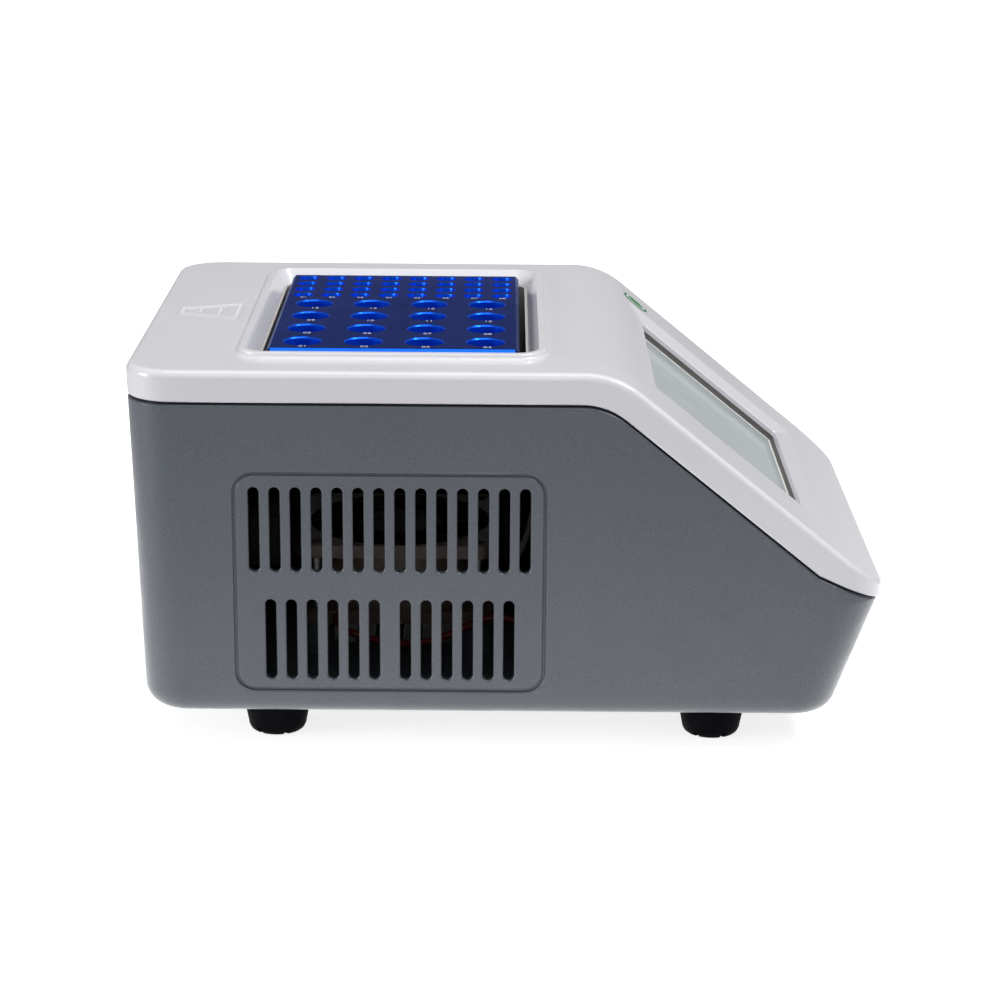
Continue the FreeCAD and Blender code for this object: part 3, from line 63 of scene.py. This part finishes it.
# Floor, world and lamps
FLOOR_HALF = 6.0
FLOOR_COLOR = (0.6, 0.6, 0.61, 1.0)
FLOOR_LIFT = 0.8
# Painted glow: the floor also shines for glossy rays, strongest near the object and gone at the far reach,
# a painted pool of light seen in reflections on the lower case
FLOOR_PAINTED_GLOW = (2.0, 0.0)
FLOOR_PAINTED_GLOW_REACH = (0.13, 0.42)
# Painted shadow on the floor under the body: a soft-edged box where the floor's colour is darkened to a
# fifth and its lift is taken away
SHADE_MIDDLE = (0.008, 0.0)
SHADE_HALF = (0.038, 0.068)
SHADE_EDGE = 0.008
WORLD_LEVEL = 0.3
LAMPS = (
    ("lamp_top", (-0.1, 0.0, 1.6), 0.9, 6.0),
    ("lamp_front", (-0.28, -0.95, 1.5), 0.55, 21.0),
    ("lamp_side", (-1.53, 0.27, 0.95), 0.8, 3.0),
    ("lamp_rear", (-0.48, 1.49, 0.35), 0.6, 13.0),
)

# Place of the block, read from the frame
block_low, block_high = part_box("heating_block")

# Wells and outer walls of the block, as in the frame
BIG_PITCH = 18.0 * MM
BIG_EDGE = 10.6 * MM
BIG_ROWS = 4
SMALL_PITCH = 9.0 * MM
SMALL_EDGE = 5.9 * MM
SMALL_ROWS = 4
SMALL_COLUMNS = 8
BLOCK_EDGE = 1.4 * MM
BLOCK_SKIN = 0.2 * MM

# Numbers on the block: height of the figures, distance towards -X from the well's middle, and aside
BIG_FIGURES = (2.55 * MM, 7.0 * MM, 0.6 * MM)
SMALL_FIGURES = (2.1 * MM, 4.1 * MM, 0.4 * MM)

# Slope of the display
SLOPE_TOP = Vector((0.0, -31.0, 114.2)) * MM
SLOPE_DEG = 39.1
WINDOW = (89.0 * MM, 57.4 * MM)
WINDOW_MID_S = 46.9 * MM
GLASS_DEPTH = 4.8 * MM
GLASS_ROOM = 0.3 * MM
GLASS_RIM = (0.7 * MM, 0.12 * MM)
HAIR = 0.04 * MM

# Round sticker with its ring's radii, raised outline whose tops get a painted highlight, and rocker, as in
# the frame
STICKER = (63.0 * MM, 14.8 * MM, 0.15 * MM)
STICKER_RING = (4.0 * MM, 3.3 * MM)
OUTLINE_Z = (114.36 * MM, 114.46 * MM)
OUTLINE_Y = (81.8 * MM, 82.2 * MM)
ROCKER_MIDDLE = Vector((30.17, 106.99, 60.6)) * MM
ROCKER_REACH = 5.2 * MM
ROCKER_WING_DEG = 16.0
OFF_RING = (2.2 * MM, 1.7 * MM)
ON_BAR = (2.2 * MM, 0.3 * MM)
ON_BAR_NARROW = 0.16

# Foot's section as (radius, height) in millimetres: outwards, up, and back down its screw recess
FOOT_SECTION = (
    (3.9, 0.0), (6.5, 0.0), (7.3, 0.22), (7.95, 0.72), (8.35, 1.4), (8.5, 1.85), (8.55, 1.9),
    (8.72, 2.9), (9.35, 6.2), (9.75, 8.6), (9.93, 9.9), (9.9, 10.45), (1.65, 10.45),
    (1.65, 4.45), (3.6, 4.45), (3.6, 0.35),
)
FOOT_STEPS = 144
NOTCHED_POINTS = (1, 2, 3, 4, 5)
NOTCH_FIRST_DEG = 139.0
NOTCH_EVERY_DEG = 60.0
NOTCH_WIDE_DEG = 10.0
NOTCH_SHARE = 0.88


def linear(red, green, blue):
    """A colour given as 0 to 255 on screen, as the shader wants it."""
    def one(value):
        share = value / 255
        return share / 12.92 if share <= 0.04045 else ((share + 0.055) / 1.055) ** 2.4
    return (one(red), one(green), one(blue), 1.0)


def dim(color, share):
    return (color[0] * share, color[1] * share, color[2] * share, 1.0)


# Materials
class Finish:
    """A Principled material with patterns that follow the object's own coordinates."""

    def __init__(self, name, rough, metal=0.0, coat=0.0, coat_rough=0.1, specular=0.5):
        self.material = bpy.data.materials.new(name)
        self.material.use_nodes = True
        self.tree = self.material.node_tree
        self.shader = self.tree.nodes["Principled BSDF"]
        self.set("Roughness", rough)
        self.set("Metallic", metal)
        self.set("Coat Weight", coat)
        self.set("Coat Roughness", coat_rough)
        self.set("Specular IOR Level", specular)
        self.place = self.add("ShaderNodeTexCoord").outputs["Object"]
        self.normal = None

    def add(self, kind, **settings):
        node = self.tree.nodes.new(kind)
        for key, value in settings.items():
            setattr(node, key, value)
        return node

    def link(self, output, target):
        self.tree.links.new(output, target)

    def set(self, socket, value):
        self.shader.inputs[socket].default_value = value
        return self

    def noise(self, scale, detail=3.0, stretch=None):
        node = self.add("ShaderNodeTexNoise")
        node.inputs["Scale"].default_value = scale
        node.inputs["Detail"].default_value = detail
        place = self.place
        if stretch:
            mapping = self.add("ShaderNodeMapping")
            mapping.inputs["Scale"].default_value = stretch
            self.link(place, mapping.inputs["Vector"])
            place = mapping.outputs["Vector"]
        self.link(place, node.inputs["Vector"])
        return node.outputs["Fac"]

    def span(self, value, low, high, from_low=0.3, from_high=0.7):
        node = self.add("ShaderNodeMapRange")
        node.inputs["From Min"].default_value = from_low
        node.inputs["From Max"].default_value = from_high
        node.inputs["To Min"].default_value = low
        node.inputs["To Max"].default_value = high
        self.link(value, node.inputs["Value"])
        return node.outputs["Result"]

    def blend(self, share, color_a, color_b):
        node = self.add("ShaderNodeMix", data_type="RGBA")
        self.link(share, node.inputs["Factor"])
        for socket, color in (("A", color_a), ("B", color_b)):
            target = [i for i in node.inputs if i.name == socket and i.type == "RGBA"][0]
            if isinstance(color, tuple):
                target.default_value = color
            else:
                self.link(color, target)
        return [o for o in node.outputs if o.type == "RGBA"][0]

    def calc(self, kind, *values):
        node = self.add("ShaderNodeMath", operation=kind)
        for socket, value in zip(node.inputs, values):
            if isinstance(value, float):
                socket.default_value = value
            else:
                self.link(value, socket)
        return node.outputs["Value"]

    def color(self, output):
        self.link(output, self.shader.inputs["Base Color"])
        return self

    def mottled(self, color, scale, spread=0.06, stretch=None):
        share = self.span(self.noise(scale, 4.0, stretch), 0.0, 1.0)
        return self.color(self.blend(share, dim(color, 1 - spread), dim(color, 1 + spread)))

    def uneven_gloss(self, low, high, scale, stretch=None):
        value = self.span(self.noise(scale, 3.0, stretch), low, high)
        self.link(value, self.shader.inputs["Roughness"])
        return self

    def bump(self, height, distance, strength=1.0):
        node = self.add("ShaderNodeBump")
        node.inputs["Distance"].default_value = distance
        node.inputs["Strength"].default_value = strength
        self.link(height, node.inputs["Height"])
        if self.normal:
            self.link(self.normal, node.inputs["Normal"])
        self.normal = node.outputs["Normal"]
        self.link(self.normal, self.shader.inputs["Normal"])
        return self

    def soft_edges(self, radius):
        node = self.add("ShaderNodeBevel", samples=6)
        node.inputs["Radius"].default_value = radius
        self.normal = node.outputs["Normal"]
        self.link(self.normal, self.shader.inputs["Normal"])
        return self

    def grain(self, scale, distance, strength=1.0, stretch=None):
        return self.bump(self.noise(scale, 2.0, stretch), distance, strength)


def cover_plastic():
    finish = Finish("cover_plastic", 0.34, coat=0.6, coat_rough=0.09)
    base = linear(214, 213, 218)
    share = finish.span(finish.noise(9.0, 4.0), 0.0, 1.0)
    plain = finish.blend(share, dim(base, 0.992), dim(base, 1.008))
    place = finish.add("ShaderNodeSeparateXYZ")
    finish.link(finish.place, place.inputs["Vector"])
    # Painted highlight: the raised outline's tops, high up and far back on the cover, whitened to stand for
    # their lit edges
    painted_highlight_height = finish.span(place.outputs["Z"], 0.0, 1.0, *OUTLINE_Z)
    painted_highlight_back = finish.span(place.outputs["Y"], 0.0, 1.0, *OUTLINE_Y)
    finish.color(finish.blend(finish.calc("MULTIPLY", painted_highlight_height, painted_highlight_back), plain, linear(244, 244, 246)))
    finish.uneven_gloss(0.31, 0.38, 40.0)
    finish.soft_edges(0.4 * MM)
    return finish.grain(2600.0, 0.00001, 0.2).material


def case_plastic():
    finish = Finish("case_plastic", 0.4, specular=0.5)
    base = linear(72, 78, 86)
    cloud = finish.span(finish.noise(14.0, 4.0), 0.0, 1.0)
    speck = finish.span(finish.noise(2600.0, 2.0), 0.0, 1.0)
    cloudy = finish.blend(cloud, dim(base, 0.97), dim(base, 1.03))
    finish.color(finish.blend(finish.span(speck, 0.0, 0.1), cloudy, linear(150, 154, 160)))
    finish.uneven_gloss(0.34, 0.42, 120.0)
    finish.soft_edges(0.3 * MM)
    return finish.grain(3200.0, 0.00004, 0.4).material


def anodised_blue():
    finish = Finish("anodised_blue", 0.28)
    # One anodised finish in three colours: the top, well walls painted bright blue as if lit by the lamps,
    # and outer side walls painted dark navy as if shaded
    top, painted_lit_wall, side = linear(57, 72, 128), linear(12, 92, 235), linear(14, 26, 70)
    facing = finish.add("ShaderNodeSeparateXYZ")
    finish.link(finish.add("ShaderNodeNewGeometry").outputs["Normal"], facing.inputs["Vector"])
    upward = finish.span(facing.outputs["Z"], 0.0, 1.0, 0.9, 0.99)
    share = finish.span(finish.noise(60.0, 4.0), 0.0, 1.0)
    mottle = finish.blend(share, dim(top, 0.8), dim(top, 1.15))
    speck = finish.span(finish.noise(1100.0, 1.0), 0.0, 0.5, 0.72, 0.8)
    place = finish.add("ShaderNodeSeparateXYZ")
    finish.link(finish.place, place.inputs["Vector"])
    middle_y, half_y = (block_low.y + block_high.y) / 2, (block_high.y - block_low.y) / 2
    far_x = finish.calc("ABSOLUTE", place.outputs["X"])
    far_y = finish.calc("ABSOLUTE", finish.calc("SUBTRACT", place.outputs["Y"], middle_y))
    past_x = finish.span(far_x, 0.0, 1.0, block_high.x - BLOCK_SKIN, block_high.x - BLOCK_SKIN / 4)
    past_y = finish.span(far_y, 0.0, 1.0, half_y - BLOCK_EDGE, half_y - BLOCK_EDGE + BLOCK_SKIN)
    # Painted light and shade: lit well walls, shaded outer side walls
    painted_wall_light_and_shade = finish.blend(finish.calc("MAXIMUM", past_x, past_y), painted_lit_wall, side)
    finish.color(finish.blend(upward, painted_wall_light_and_shade, finish.blend(speck, mottle, linear(150, 155, 185))))
    finish.link(finish.span(upward, 0.72, 1.0, 0.0, 1.0), finish.shader.inputs["Metallic"])
    tint = finish.blend(upward, linear(150, 180, 255), linear(172, 184, 255))
    finish.link(tint, finish.shader.inputs["Specular Tint"])
    finish.uneven_gloss(0.24, 0.32, 40.0)
    return finish.grain(400.0, 0.00001, 0.15).material


def plain_metal(name, color, rough, stretch=(1.0, 20.0, 1.0)):
    finish = Finish(name, rough, metal=1.0)
    finish.mottled(color, 40.0, 0.05)
    finish.uneven_gloss(rough - 0.08, rough + 0.08, 200.0, stretch)
    return finish.grain(600.0, 0.00001, 0.3, stretch).material


def plain_plastic(name, color, rough, grain=1800.0, spread=0.05, specular=0.5):
    finish = Finish(name, rough, specular=specular)
    finish.mottled(color, 30.0, spread)
    finish.uneven_gloss(max(rough - 0.06, 0.05), rough + 0.06, 160.0)
    return finish.grain(grain, 0.00003, 0.4).material


def rubber(name, color, rough=0.6, specular=0.35):
    finish = Finish(name, rough, specular=specular)
    finish.mottled(color, 60.0, 0.12)
    finish.uneven_gloss(rough - 0.08, rough + 0.1, 220.0)
    return finish.grain(2400.0, 0.00006, 0.6).material


def screen_face():
    finish = Finish("screen_face", 0.2, coat=0.35, coat_rough=0.08)
    finish.mottled(linear(182, 190, 192), 11.0, 0.02)
    finish.uneven_gloss(0.2, 0.28, 80.0)
    return finish.grain(4200.0, 0.00001, 0.2).material


def circuit_board():
    finish = Finish("circuit_board", 0.4, coat=0.2)
    tracks = finish.add("ShaderNodeTexBrick")
    tracks.inputs["Scale"].default_value = 260.0
    tracks.inputs["Mortar Size"].default_value = 0.03
    finish.link(finish.place, tracks.inputs["Vector"])
    mask, copper = linear(9, 34, 25), linear(24, 70, 48)
    finish.color(finish.blend(tracks.outputs["Fac"], mask, copper))
    return finish.grain(700.0, 0.00003, 0.3).material


def taped_winding():
    finish = Finish("transformer_tape", 0.35)
    finish.mottled(linear(168, 140, 46), 90.0, 0.1, (1.0, 1.0, 8.0))
    return finish.grain(500.0, 0.00008, 0.5, (1.0, 1.0, 10.0)).material


def clear_tube():
    finish = Finish("fuse_glass", 0.08)
    finish.mottled(linear(205, 212, 212), 50.0, 0.03)
    finish.set("Transmission Weight", 0.5)
    return finish.grain(300.0, 0.00001, 0.2).material


def printed_film(name, color, rough=0.3):
    finish = Finish(name, rough, coat=0.1, specular=0.3)
    finish.mottled(color, 300.0, 0.05)
    return finish.grain(1500.0, 0.00002, 0.3).material


finishes = {
    "cover_plastic": cover_plastic(),
    "case_plastic": case_plastic(),
    "anodised_blue": anodised_blue(),
    "liner_plastic": plain_plastic("liner_plastic", linear(196, 192, 188), 0.4),
    "bare_aluminium": plain_metal("bare_aluminium", linear(188, 190, 194), 0.35),
    "silicone_red": rubber("silicone_red", linear(150, 62, 40)),
    "dark_plastic": plain_plastic("dark_plastic", linear(30, 30, 33), 0.4),
    "zinc_steel": plain_metal("zinc_steel", linear(128, 128, 130), 0.45, (1.0, 1.0, 6.0)),
    "fan_plastic": plain_plastic("fan_plastic", linear(30, 27, 26), 0.6, specular=0.2),
    "fan_frame_plastic": plain_plastic("fan_frame_plastic", linear(92, 80, 72), 0.45),
    "gasket_rubber": rubber("gasket_rubber", linear(112, 107, 104)),
    "screen_glass": screen_face(),
    "lcd_panel": plain_plastic("lcd_panel", linear(150, 156, 158), 0.3),
    "circuit_board": circuit_board(),
    "connector_plastic": plain_plastic("connector_plastic", linear(70, 64, 58), 0.45),
    "ribbon_plastic": plain_plastic("ribbon_plastic", linear(120, 120, 124), 0.45),
    "transformer_tape": taped_winding(),
    "relay_plastic": plain_plastic("relay_plastic", linear(34, 60, 110), 0.35),
    "lead_red": rubber("lead_red", linear(104, 26, 22), 0.4),
    "lead_white": rubber("lead_white", linear(112, 108, 104), 0.5),
    "lead_black": rubber("lead_black", linear(28, 28, 30), 0.45),
    "inlet_plastic": plain_plastic("inlet_plastic", linear(22, 22, 24), 0.38),
    "pin_brass": plain_metal("pin_brass", linear(200, 194, 178), 0.25),
    "rocker_plastic": plain_plastic("rocker_plastic", linear(24, 24, 26), 0.25),
    "fuse_glass": clear_tube(),
    "foot_rubber": rubber("foot_rubber", linear(15, 15, 19), 0.8, 0.04),
    "green_film": printed_film("green_film", linear(22, 110, 62), 0.4),
}
pale_print = printed_film("pale_print", linear(186, 190, 198), 0.45)
bright_print = printed_film("bright_print", linear(226, 230, 228), 0.45)

for part in frame["record"]["subparts"]:
    mesh = nodes[part["node"]].data
    mesh.materials.clear()
    mesh.materials.append(finishes[part["material_slot"]])


# Pieces made here
def new_piece(name, mesh, slot, body, finish=None):
    piece = bpy.data.objects.new(name, mesh)
    bpy.context.scene.collection.objects.link(piece)
    mesh.materials.clear()
    mesh.materials.append(finish or finishes[slot])
    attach(piece, body)
    return piece


def set_smooth(mesh, limit_deg=35.0):
    work = bmesh.new()
    work.from_mesh(mesh)
    for face in work.faces:
        face.smooth = True
    for edge in work.edges:
        edge.smooth = len(edge.link_faces) < 2 or edge.calc_face_angle(0.0) < math.radians(limit_deg)
    work.to_mesh(mesh)
    work.free()


def turned(name, profile, at, steps, radius_at=None, hollow=False):
    """A turned solid from (radius, height) pairs, with an optional change of radius by angle.

    A hollow one is a ring: its last point joins its first, and it has no end faces.
    """
    work = bmesh.new()
    rings = []
    for index, (radius, height) in enumerate(profile):
        ring = []
        for step in range(steps):
            angle = 2 * math.pi * step / steps
            share = radius_at(index, angle) if radius_at else 1.0
            reach = radius * share
            ring.append(work.verts.new((math.cos(angle) * reach, math.sin(angle) * reach, height)))
        rings.append(ring)
    pairs = list(zip(rings, rings[1:]))
    if hollow:
        pairs.append((rings[-1], rings[0]))
    for low, high in pairs:
        for step in range(steps):
            ahead = (step + 1) % steps
            work.faces.new((low[step], low[ahead], high[ahead], high[step]))
    if not hollow:
        work.faces.new(list(reversed(rings[0])))
        work.faces.new(rings[-1])
    bmesh.ops.translate(work, verts=work.verts, vec=at)
    mesh = bpy.data.meshes.new(name)
    work.to_mesh(mesh)
    work.free()
    set_smooth(mesh)
    return mesh


def word_mesh(text, size, depth):
    """The outline of a few characters, raised by depth, centred on the origin in X and Y."""
    curve = bpy.data.curves.new("word", "FONT")
    curve.body = text
    curve.size = size
    curve.extrude = depth / 2
    curve.align_x = "CENTER"
    curve.align_y = "CENTER"
    holder = bpy.data.objects.new("word", curve)
    bpy.context.scene.collection.objects.link(holder)
    bpy.context.view_layer.update()
    evaluated = holder.evaluated_get(bpy.context.evaluated_depsgraph_get())
    mesh = bpy.data.meshes.new_from_object(evaluated)
    bpy.data.objects.remove(holder)
    bpy.data.curves.remove(curve)
    return mesh


def join_meshes(name, placed):
    """One mesh from (mesh, matrix) pairs."""
    work = bmesh.new()
    for mesh, matrix in placed:
        part = mesh.copy()
        part.transform(matrix)
        work.from_mesh(part)
        bpy.data.meshes.remove(part)
    joined = bpy.data.meshes.new(name)
    work.to_mesh(joined)
    work.free()
    return joined


new_camera = bpy.data.cameras.new("camera")
new_camera.lens = CAMERA_LENS
new_camera.sensor_width = CAMERA_SENSOR
new_camera.clip_start = 0.01
camera = bpy.data.objects.new("camera", new_camera)
bpy.context.scene.collection.objects.link(camera)


def aim_camera():
    ahead = Vector((math.cos(CAMERA_YAW) * math.cos(CAMERA_PITCH),
                    -math.sin(CAMERA_YAW) * math.cos(CAMERA_PITCH), -math.sin(CAMERA_PITCH)))
    level = Vector((-math.sin(CAMERA_YAW), -math.cos(CAMERA_YAW), 0.0))
    above = level.cross(ahead)
    right = level * math.cos(CAMERA_ROLL) + above * math.sin(CAMERA_ROLL)
    up = above * math.cos(CAMERA_ROLL) - level * math.sin(CAMERA_ROLL)
    turn = Matrix((right, up, -ahead)).transposed().to_4x4()
    camera.matrix_world = Matrix.Translation(CAMERA_AT) @ turn
    bpy.context.scene.camera = camera


aim_camera()


# Numbers marked on the block, upright for a reader at its -X side
def well_numbers():
    thick = 2 * HAIR
    size, drop, aside = BIG_FIGURES
    small_size, small_drop, small_aside = SMALL_FIGURES
    middle_y = (block_low.y + block_high.y) / 2
    turn = Matrix.Rotation(-math.pi / 2, 4, "Z")
    placed = []
    for row in range(BIG_ROWS):
        for column in range(BIG_ROWS):
            x = block_low.x + BIG_EDGE + row * BIG_PITCH - drop
            y = middle_y - (column - (BIG_ROWS - 1) / 2) * BIG_PITCH - aside
            number = "%02d" % (row * BIG_ROWS + column + 1)
            at = Matrix.Translation((x, y, block_high.z + HAIR))
            placed.append((word_mesh(number, size, thick), at @ turn))
    x = block_high.x - SMALL_EDGE - (SMALL_ROWS - 1) * SMALL_PITCH - small_drop
    for column in range(SMALL_COLUMNS):
        y = middle_y - (column - (SMALL_COLUMNS - 1) / 2) * SMALL_PITCH - small_aside
        at = Matrix.Translation((x, y, block_high.z + HAIR))
        placed.append((word_mesh("%02d" % (column + 1), small_size, thick), at @ turn))
    return join_meshes("well_numbers", placed)


# Place on the slope: X, distance down from its top corner, height above its surface
def on_slope(x, down, above):
    tilt = math.radians(SLOPE_DEG)
    along = Vector((0.0, -math.cos(tilt), -math.sin(tilt)))
    outward = Vector((0.0, -math.sin(tilt), math.cos(tilt)))
    place = SLOPE_TOP + along * down + outward * above
    return Matrix.Translation(place + Vector((x, 0.0, 0.0))) @ Matrix.Rotation(tilt, 4, "X")


def ring_mesh(name, outer, inner, thick, matrix, steps=48):
    middle = (outer - inner) * 0.2
    profile = [(inner, 0.0), (outer, 0.0), (outer, thick * 0.6), (outer - middle, thick)]
    profile += [(inner + middle, thick), (inner, thick * 0.6)]
    mesh = turned(name, profile, (0.0, 0.0, 0.0), steps, hollow=True)
    mesh.transform(matrix)
    return mesh


def frame_mesh(name, wide, tall, rim, thick, matrix):
    """A flat four-sided frame with a bevelled inner edge, lying on its own XY plane."""
    work = bmesh.new()
    loops = []
    for inset, height in ((0.0, 0.0), (0.0, thick), (rim * 0.6, thick), (rim, thick * 0.3), (rim, 0.0)):
        half_x, half_y = wide / 2 - inset, tall / 2 - inset
        corners = [(-half_x, -half_y), (half_x, -half_y), (half_x, half_y), (-half_x, half_y)]
        loops.append([work.verts.new((x, y, height)) for x, y in corners])
    for low, high in zip(loops, loops[1:] + loops[:1]):
        for step in range(4):
            ahead = (step + 1) % 4
            work.faces.new((low[step], low[ahead], high[ahead], high[step]))
    bmesh.ops.transform(work, matrix=matrix, verts=work.verts)
    bmesh.ops.recalc_face_normals(work, faces=work.faces)
    mesh = bpy.data.meshes.new(name)
    work.to_mesh(mesh)
    work.free()
    return mesh


# Marks on the two wings of the rocker, at rest
def rocker_marks():
    thick = 2 * HAIR
    upright = Matrix.Rotation(-math.pi / 2, 4, "X")
    lean = math.radians(ROCKER_WING_DEG)
    off_place = ROCKER_MIDDLE + Vector((-math.cos(lean), math.sin(lean), 0.0)) * ROCKER_REACH
    off_turn = Matrix.Rotation(-lean, 4, "Z") @ upright
    off_ring = ring_mesh("off_ring", *OFF_RING, thick, Matrix.Translation(off_place) @ off_turn)
    on_place = Matrix.Translation(ROCKER_MIDDLE + Vector((ROCKER_REACH, 0.0, 0.0)))
    on_bar = ring_mesh("on_bar", *ON_BAR, thick, Matrix.Scale(ON_BAR_NARROW, 4, (1.0, 0.0, 0.0)), 32)
    return join_meshes("rocker_marks", [(off_ring, Matrix.Identity(4)), (on_bar, on_place @ upright)])


# Foot with a rounded lower edge, six small notches in it and a deep screw recess, in place of the plain one
def foot_mesh(node):
    low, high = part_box(node)
    middle = (low + high) / 2

    def notch(index, angle):
        turn = (math.degrees(angle) - NOTCH_FIRST_DEG) % NOTCH_EVERY_DEG
        return NOTCH_SHARE if index in NOTCHED_POINTS and turn < NOTCH_WIDE_DEG else 1.0

    metres = [(radius * MM, height * MM) for radius, height in FOOT_SECTION]
    return turned(node + "_rubber", metres, (middle.x, middle.y, low.z), FOOT_STEPS, notch, hollow=True)


# Floor, world and lamps
def make_floor():
    mesh = bpy.data.meshes.new("floor")
    corners = [(sx * FLOOR_HALF, sy * FLOOR_HALF, 0.0) for sx, sy in ((-1, -1), (1, -1), (1, 1), (-1, 1))]
    mesh.from_pydata(corners, [], [(0, 1, 2, 3)])
    floor = bpy.data.objects.new("floor", mesh)
    bpy.context.scene.collection.objects.link(floor)
    finish = Finish("floor_paper", 0.9, specular=0.1)
    rays = finish.add("ShaderNodeLightPath")
    glow = finish.add("ShaderNodeEmission")
    glow.inputs["Color"].default_value = (1.0, 1.0, 1.0, 1.0)
    place = finish.add("ShaderNodeSeparateXYZ")
    finish.link(finish.place, place.inputs["Vector"])

    def beyond(axis, index):
        off = finish.calc("ABSOLUTE", finish.calc("SUBTRACT", place.outputs[axis], SHADE_MIDDLE[index]))
        return finish.span(off, 0.0, 1.0, SHADE_HALF[index], SHADE_HALF[index] + SHADE_EDGE)

    # Painted shadow: 0 in the box under the body, 1 outside it; inside, the floor is darkened to a fifth
    # and gets no lift
    outside_painted_shadow = finish.calc("MAXIMUM", beyond("X", 0), beyond("Y", 1))
    grain = finish.span(finish.noise(3.0, 4.0), 0.0, 1.0)
    paper = finish.blend(grain, dim(FLOOR_COLOR, 0.996), dim(FLOOR_COLOR, 1.004))
    finish.color(finish.blend(outside_painted_shadow, dim(FLOOR_COLOR, 0.2), paper))
    # Painted glow seen only by glossy rays, fading with distance from the object: a pool of light painted
    # on the floor
    far = finish.add("ShaderNodeVectorMath", operation="LENGTH")
    finish.link(finish.place, far.inputs[0])
    painted_glow = finish.span(far.outputs["Value"], *FLOOR_PAINTED_GLOW, *FLOOR_PAINTED_GLOW_REACH)
    seen = finish.calc("MULTIPLY", rays.outputs["Is Camera Ray"], FLOOR_LIFT)
    mirrored_painted_glow = finish.calc("MULTIPLY", rays.outputs["Is Glossy Ray"], painted_glow)
    lift = finish.calc("MULTIPLY", finish.calc("ADD", seen, mirrored_painted_glow), outside_painted_shadow)
    finish.link(lift, glow.inputs["Strength"])
    both = finish.add("ShaderNodeAddShader")
    finish.link(finish.shader.outputs["BSDF"], both.inputs[0])
    finish.link(glow.outputs["Emission"], both.inputs[1])
    finish.link(both.outputs["Shader"], finish.tree.nodes["Material Output"].inputs["Surface"])
    mesh.materials.append(finish.material)


def make_world():
    world = bpy.data.worlds.new("studio")
    bpy.context.scene.world = world
    world.use_nodes = True
    tree = world.node_tree
    tree.nodes.clear()
    rays = tree.nodes.new("ShaderNodeLightPath")
    plain = tree.nodes.new("ShaderNodeBackground")
    plain.inputs["Strength"].default_value = WORLD_LEVEL
    white = tree.nodes.new("ShaderNodeBackground")
    white.inputs["Strength"].default_value = 1.0
    for node in (plain, white):
        node.inputs["Color"].default_value = (1.0, 1.0, 1.0, 1.0)
    mix = tree.nodes.new("ShaderNodeMixShader")
    tree.links.new(rays.outputs["Is Camera Ray"], mix.inputs["Fac"])
    tree.links.new(plain.outputs["Background"], mix.inputs[1])
    tree.links.new(white.outputs["Background"], mix.inputs[2])
    output = tree.nodes.new("ShaderNodeOutputWorld")
    tree.links.new(mix.outputs["Shader"], output.inputs["Surface"])


def make_lamps():
    for name, at, size, power in LAMPS:
        data = bpy.data.lights.new(name, "AREA")
        data.size = size
        data.energy = power
        lamp = bpy.data.objects.new(name, data)
        bpy.context.scene.collection.objects.link(lamp)
        lamp.location = at
        aim = Vector((0.0, 0.0, 0.06)) - Vector(at)
        lamp.rotation_euler = aim.to_track_quat("-Z", "Y").to_euler()


make_floor()
make_world()
make_lamps()
bpy.context.scene.view_settings.view_transform = "Standard"

new_piece("well_numbers", well_numbers(), "ribbon_plastic", "block", pale_print)
for foot in ("foot_front_left", "foot_front_right", "foot_rear_left", "foot_rear_right"):
    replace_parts(new_piece(foot + "_rubber", foot_mesh(foot), "foot_rubber", "housing"), foot)
sticker_x, sticker_s, sticker_high = STICKER
ring = ring_mesh("sticker_ring", *STICKER_RING, 2 * HAIR, on_slope(sticker_x, sticker_s, sticker_high))
new_piece("sticker_ring", ring, "ribbon_plastic", "housing", bright_print)
edge_place = on_slope(0.0, WINDOW_MID_S, -GLASS_DEPTH)
edge_size = (WINDOW[0] + 2 * GLASS_ROOM, WINDOW[1] + 2 * GLASS_ROOM)
edge = frame_mesh("glass_edge", *edge_size, *GLASS_RIM, edge_place)
new_piece("glass_edge", edge, "lcd_panel", "housing", bright_print)
new_piece("rocker_marks", rocker_marks(), "ribbon_plastic", "power_rocker", bright_print)
